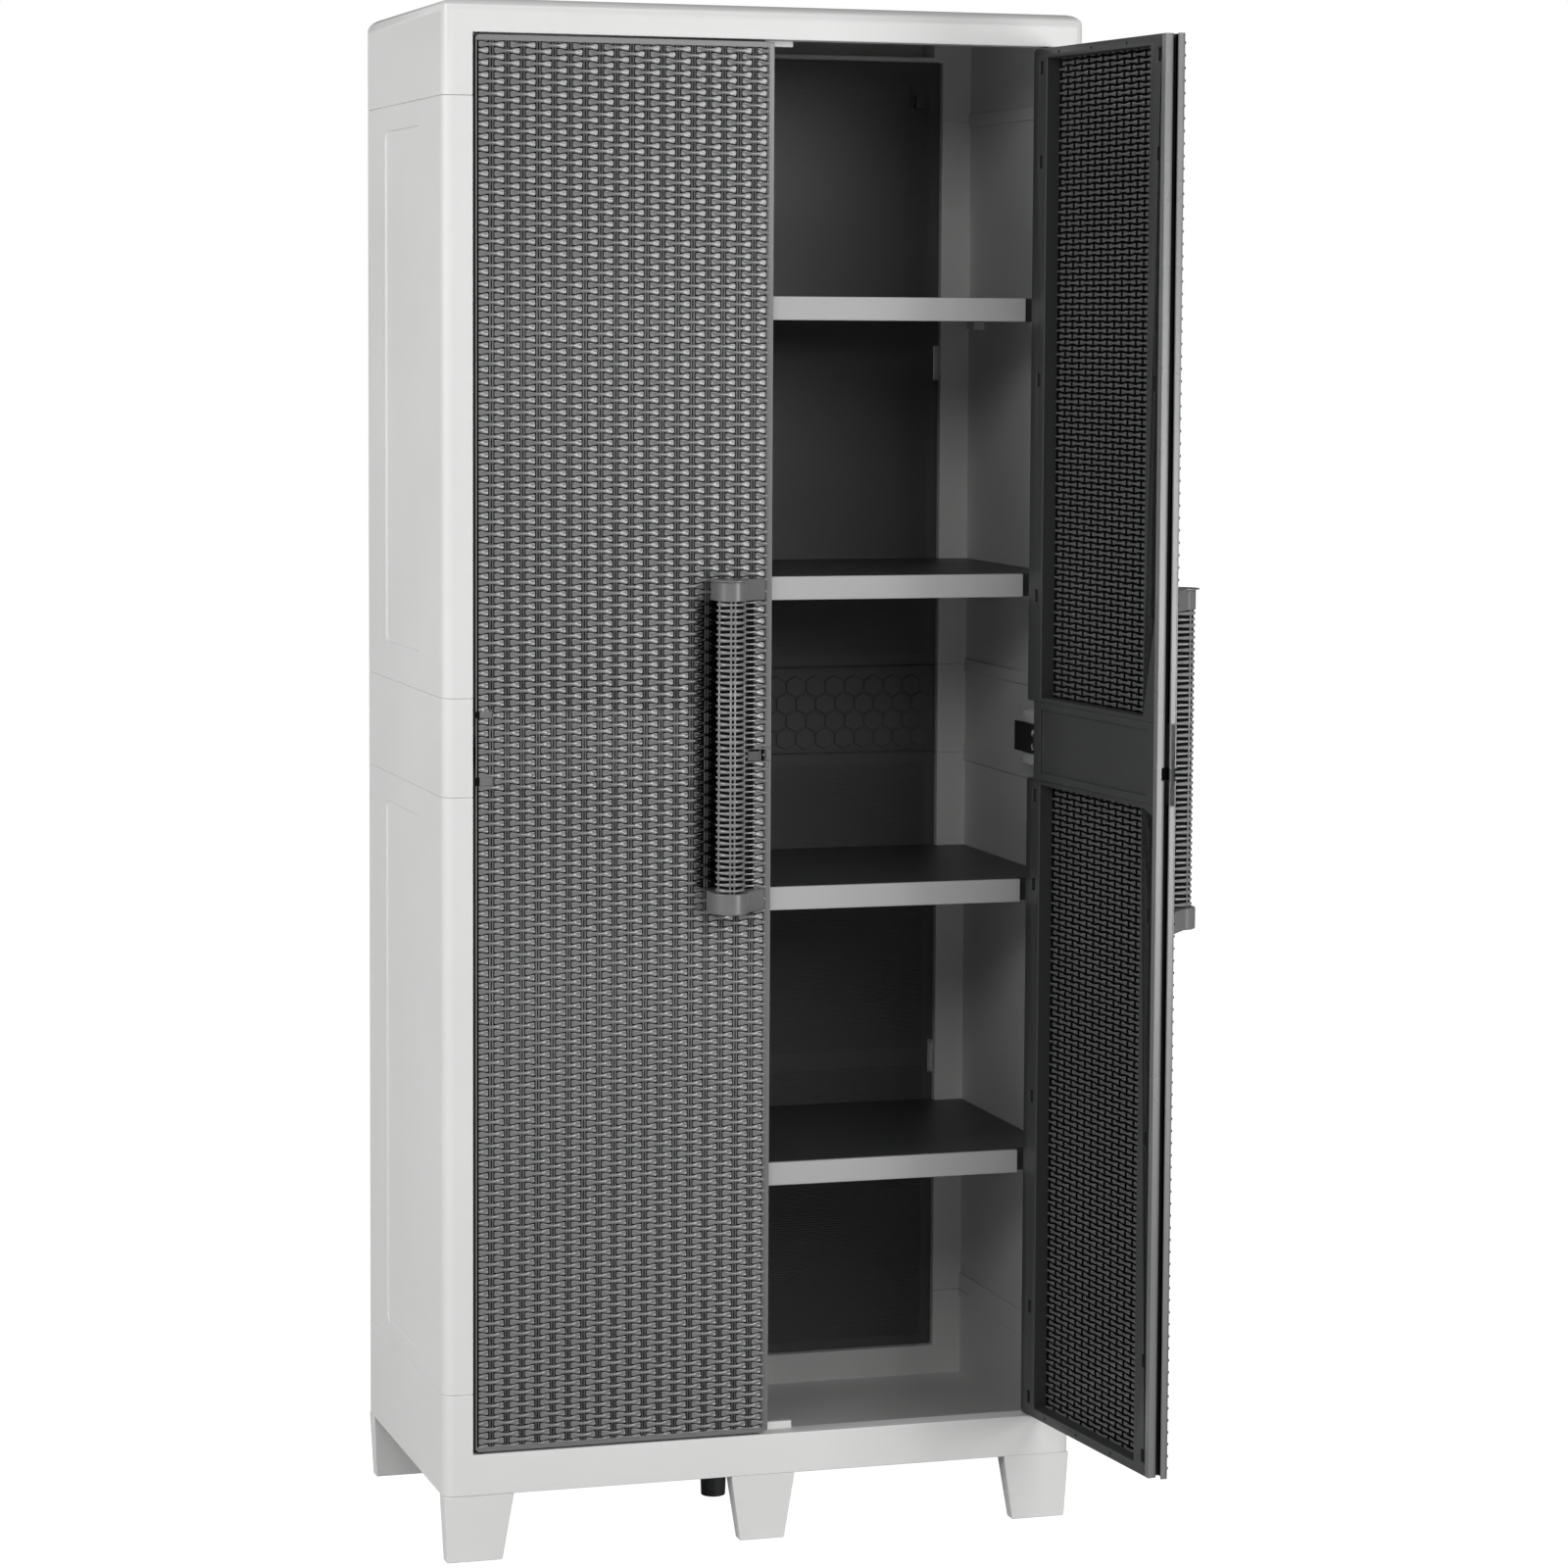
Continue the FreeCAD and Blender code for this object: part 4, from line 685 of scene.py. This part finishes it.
# The handles: a half-round grip of basket work on a flared wall, in anthracite resin, screwed to the
# door between two smooth brackets. The strands cross over and under a pair of ribs at the front and a
# stake at either side.
grip_middle = Vector((0.2908, -0.0370, 0))
grip_low, grip_high, grip_rows = 0.7861, 1.1281, 49
strand_radius, strand_swing, strand_half, strand_rise = 0.0162, 0.0010, 0.0014, 1.45
core_radius, core_wall, stake_rod_radius, flare_stake = 0.0134, 0.0022, 0.0012, Vector((0.3150, -0.0108, 0))
side_stake_turn, rib_turns = math.radians(70), (math.radians(3.5), math.radians(-14.5))


def on_grip(radius, turn):
    """A point of the half-round, by its radius and its turn from the front towards the free edge."""
    return grip_middle + Vector((math.sin(turn), -math.cos(turn), 0)) * radius


def flare(radius):
    """The way of the grip's wall from the half-round out to the door."""
    start = grip_middle.x + radius
    return [Vector((start + 0.0002, -0.0270, 0)), Vector((start + 0.0016, -0.0180, 0)),
            Vector((start + 0.0060, -0.0120, 0)), Vector((start + 0.0130, -0.0094, 0)),
            Vector((start + 0.0225, -0.0086, 0))]


def line(name, points, thickness=0.0, height=0.0, swells=()):
    """A rod along points, thicker where told, or a flat sheet that stands on them."""
    curve = bpy.data.curves.new(name, "CURVE")
    curve.dimensions = "2D" if height else "3D"
    curve.fill_mode = "NONE" if height else "FULL"
    curve.bevel_depth = thickness
    curve.bevel_resolution = 1
    curve.use_fill_caps = thickness > 0
    curve.extrude = height / 2
    path = curve.splines.new("POLY")
    path.points.add(len(points) - 1)
    for place, point in zip(path.points, points):
        place.co = (*point, 1)
    for place, swell in zip(path.points, swells):
        place.radius = swell
    thing = bpy.data.objects.new(name, curve)
    bpy.context.scene.collection.objects.link(thing)
    only(thing)
    bpy.ops.object.convert(target="MESH")
    return bpy.context.object


grip_resin = resin("grip_resin", (0.21, 0.212, 0.21), 0.17, cloud=0.10, grain=0.05)
grip_resin.node_tree.nodes["Principled BSDF"].inputs["Specular IOR Level"].default_value = 0.9
for side in ("left", "right"):
    rows = []
    pitch = (grip_high - grip_low) / grip_rows
    turns = [math.radians(-88 + 16 * k) for k in range(12)]
    for over in (1, -1):
        bows = [over * math.cos(math.pi * turn / side_stake_turn) for turn in turns]
        points = [on_grip(strand_radius + strand_swing * bow, turn) for bow, turn in zip(bows, turns)]
        swells = [1 - 0.3 * bow for bow in bows] + [0.9] * 5
        loop = line("grip_strand", points + flare(strand_radius), strand_half, swells=swells)
        loop.scale.z = strand_rise
        only(loop)
        bpy.ops.object.transform_apply(location=False, rotation=False, scale=True)
        bpy.ops.object.shade_smooth()
        skipped = 0 if over == 1 else 1
        start = (0, 0, grip_low + pitch * (skipped + 0.5))
        rows.append(repeated(loop, start, 1, 0, (grip_rows + 1 - skipped) // 2, pitch * 2))
    stakes = [on_grip(strand_radius, turn) for turn in (*rib_turns, side_stake_turn, -side_stake_turn)]
    for place in stakes + [flare_stake]:
        bpy.ops.mesh.primitive_cylinder_add(vertices=10, radius=stake_rod_radius,
                                            depth=grip_high - grip_low,
                                            location=place + Vector((0, 0, (grip_low + grip_high) / 2)))
        bpy.ops.object.transform_apply(location=True, rotation=True, scale=True)
        bpy.ops.object.shade_smooth()
        rows.append(bpy.context.object)
    for thing in rows:
        thing.data.materials.clear()
        thing.data.materials.append(grip_resin)
    turns = [math.radians(-90 + 15 * k) for k in range(13)]
    shell = line("grip_core", [on_grip(core_radius, turn) for turn in turns] + flare(core_radius), 0,
                 grip_high - grip_low)
    wall = shell.modifiers.new("wall", "SOLIDIFY")
    wall.thickness = core_wall
    wall.offset = 0
    bpy.ops.object.modifier_apply(modifier="wall")
    shell.location.z = (grip_low + grip_high) / 2
    bpy.ops.object.transform_apply(location=True, rotation=False, scale=False)
    bpy.ops.object.shade_smooth_by_angle(angle=math.radians(40))
    # painted shade: the grip's core is near-black, for the shade in the slots between the strands
    shell.data.materials.append(hollow_shade_paint)
    grip = opened(merged("grip", *rows, shell), lock_low - Vector((0.0009, 0, 0.0009)),
                  Vector((skin_end + 0.0015, 0, lock_high.z + 0.0009)))
    put_on_door(grip, side, side + "_handle_woven_grip", [side + "_handle_grip"])
    for part in ("handle_top_bracket", "handle_bottom_bracket"):
        softened("%s_%s" % (side, part), 0.0014, border_resin, side + "_door")

# The hinges: black brackets screwed to the bosses of the mid bands, and blackened steel pins on
# which the doors turn at the head, the foot and the middle section.
black_resin = resin("black_resin_satin", (0.012, 0.012, 0.012), 0.4)
for node in ("left_middle_hinge_bracket", "right_middle_hinge_bracket"):
    softened(node, 0.0008, black_resin)
for node in ("top_hinge_pins", "bottom_hinge_pins", "left_middle_hinge_pin", "right_middle_hinge_pin"):
    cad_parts[node].data.materials.clear()
    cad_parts[node].data.materials.append(black_resin)

# The screws: pan-headed, of zinc-plated steel. They hold the hinge brackets to the bosses, and from the
# slotted pockets they draw each door's frame to its skin.
for node in ("bracket_screws", "left_door_screws", "right_door_screws"):
    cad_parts[node].data.materials.clear()
    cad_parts[node].data.materials.append(steel)

# The catches and hooks, which fit onto the case last: light resin stops on the lintel and the front
# rail for the doors' strips, and two dark resin hooks at the top of the back.
for node in ("top_catch", "bottom_catch"):
    softened(node, 0.0010, light_resin)
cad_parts["utility_hooks"].data.materials.clear()
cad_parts["utility_hooks"].data.materials.append(back_resin)
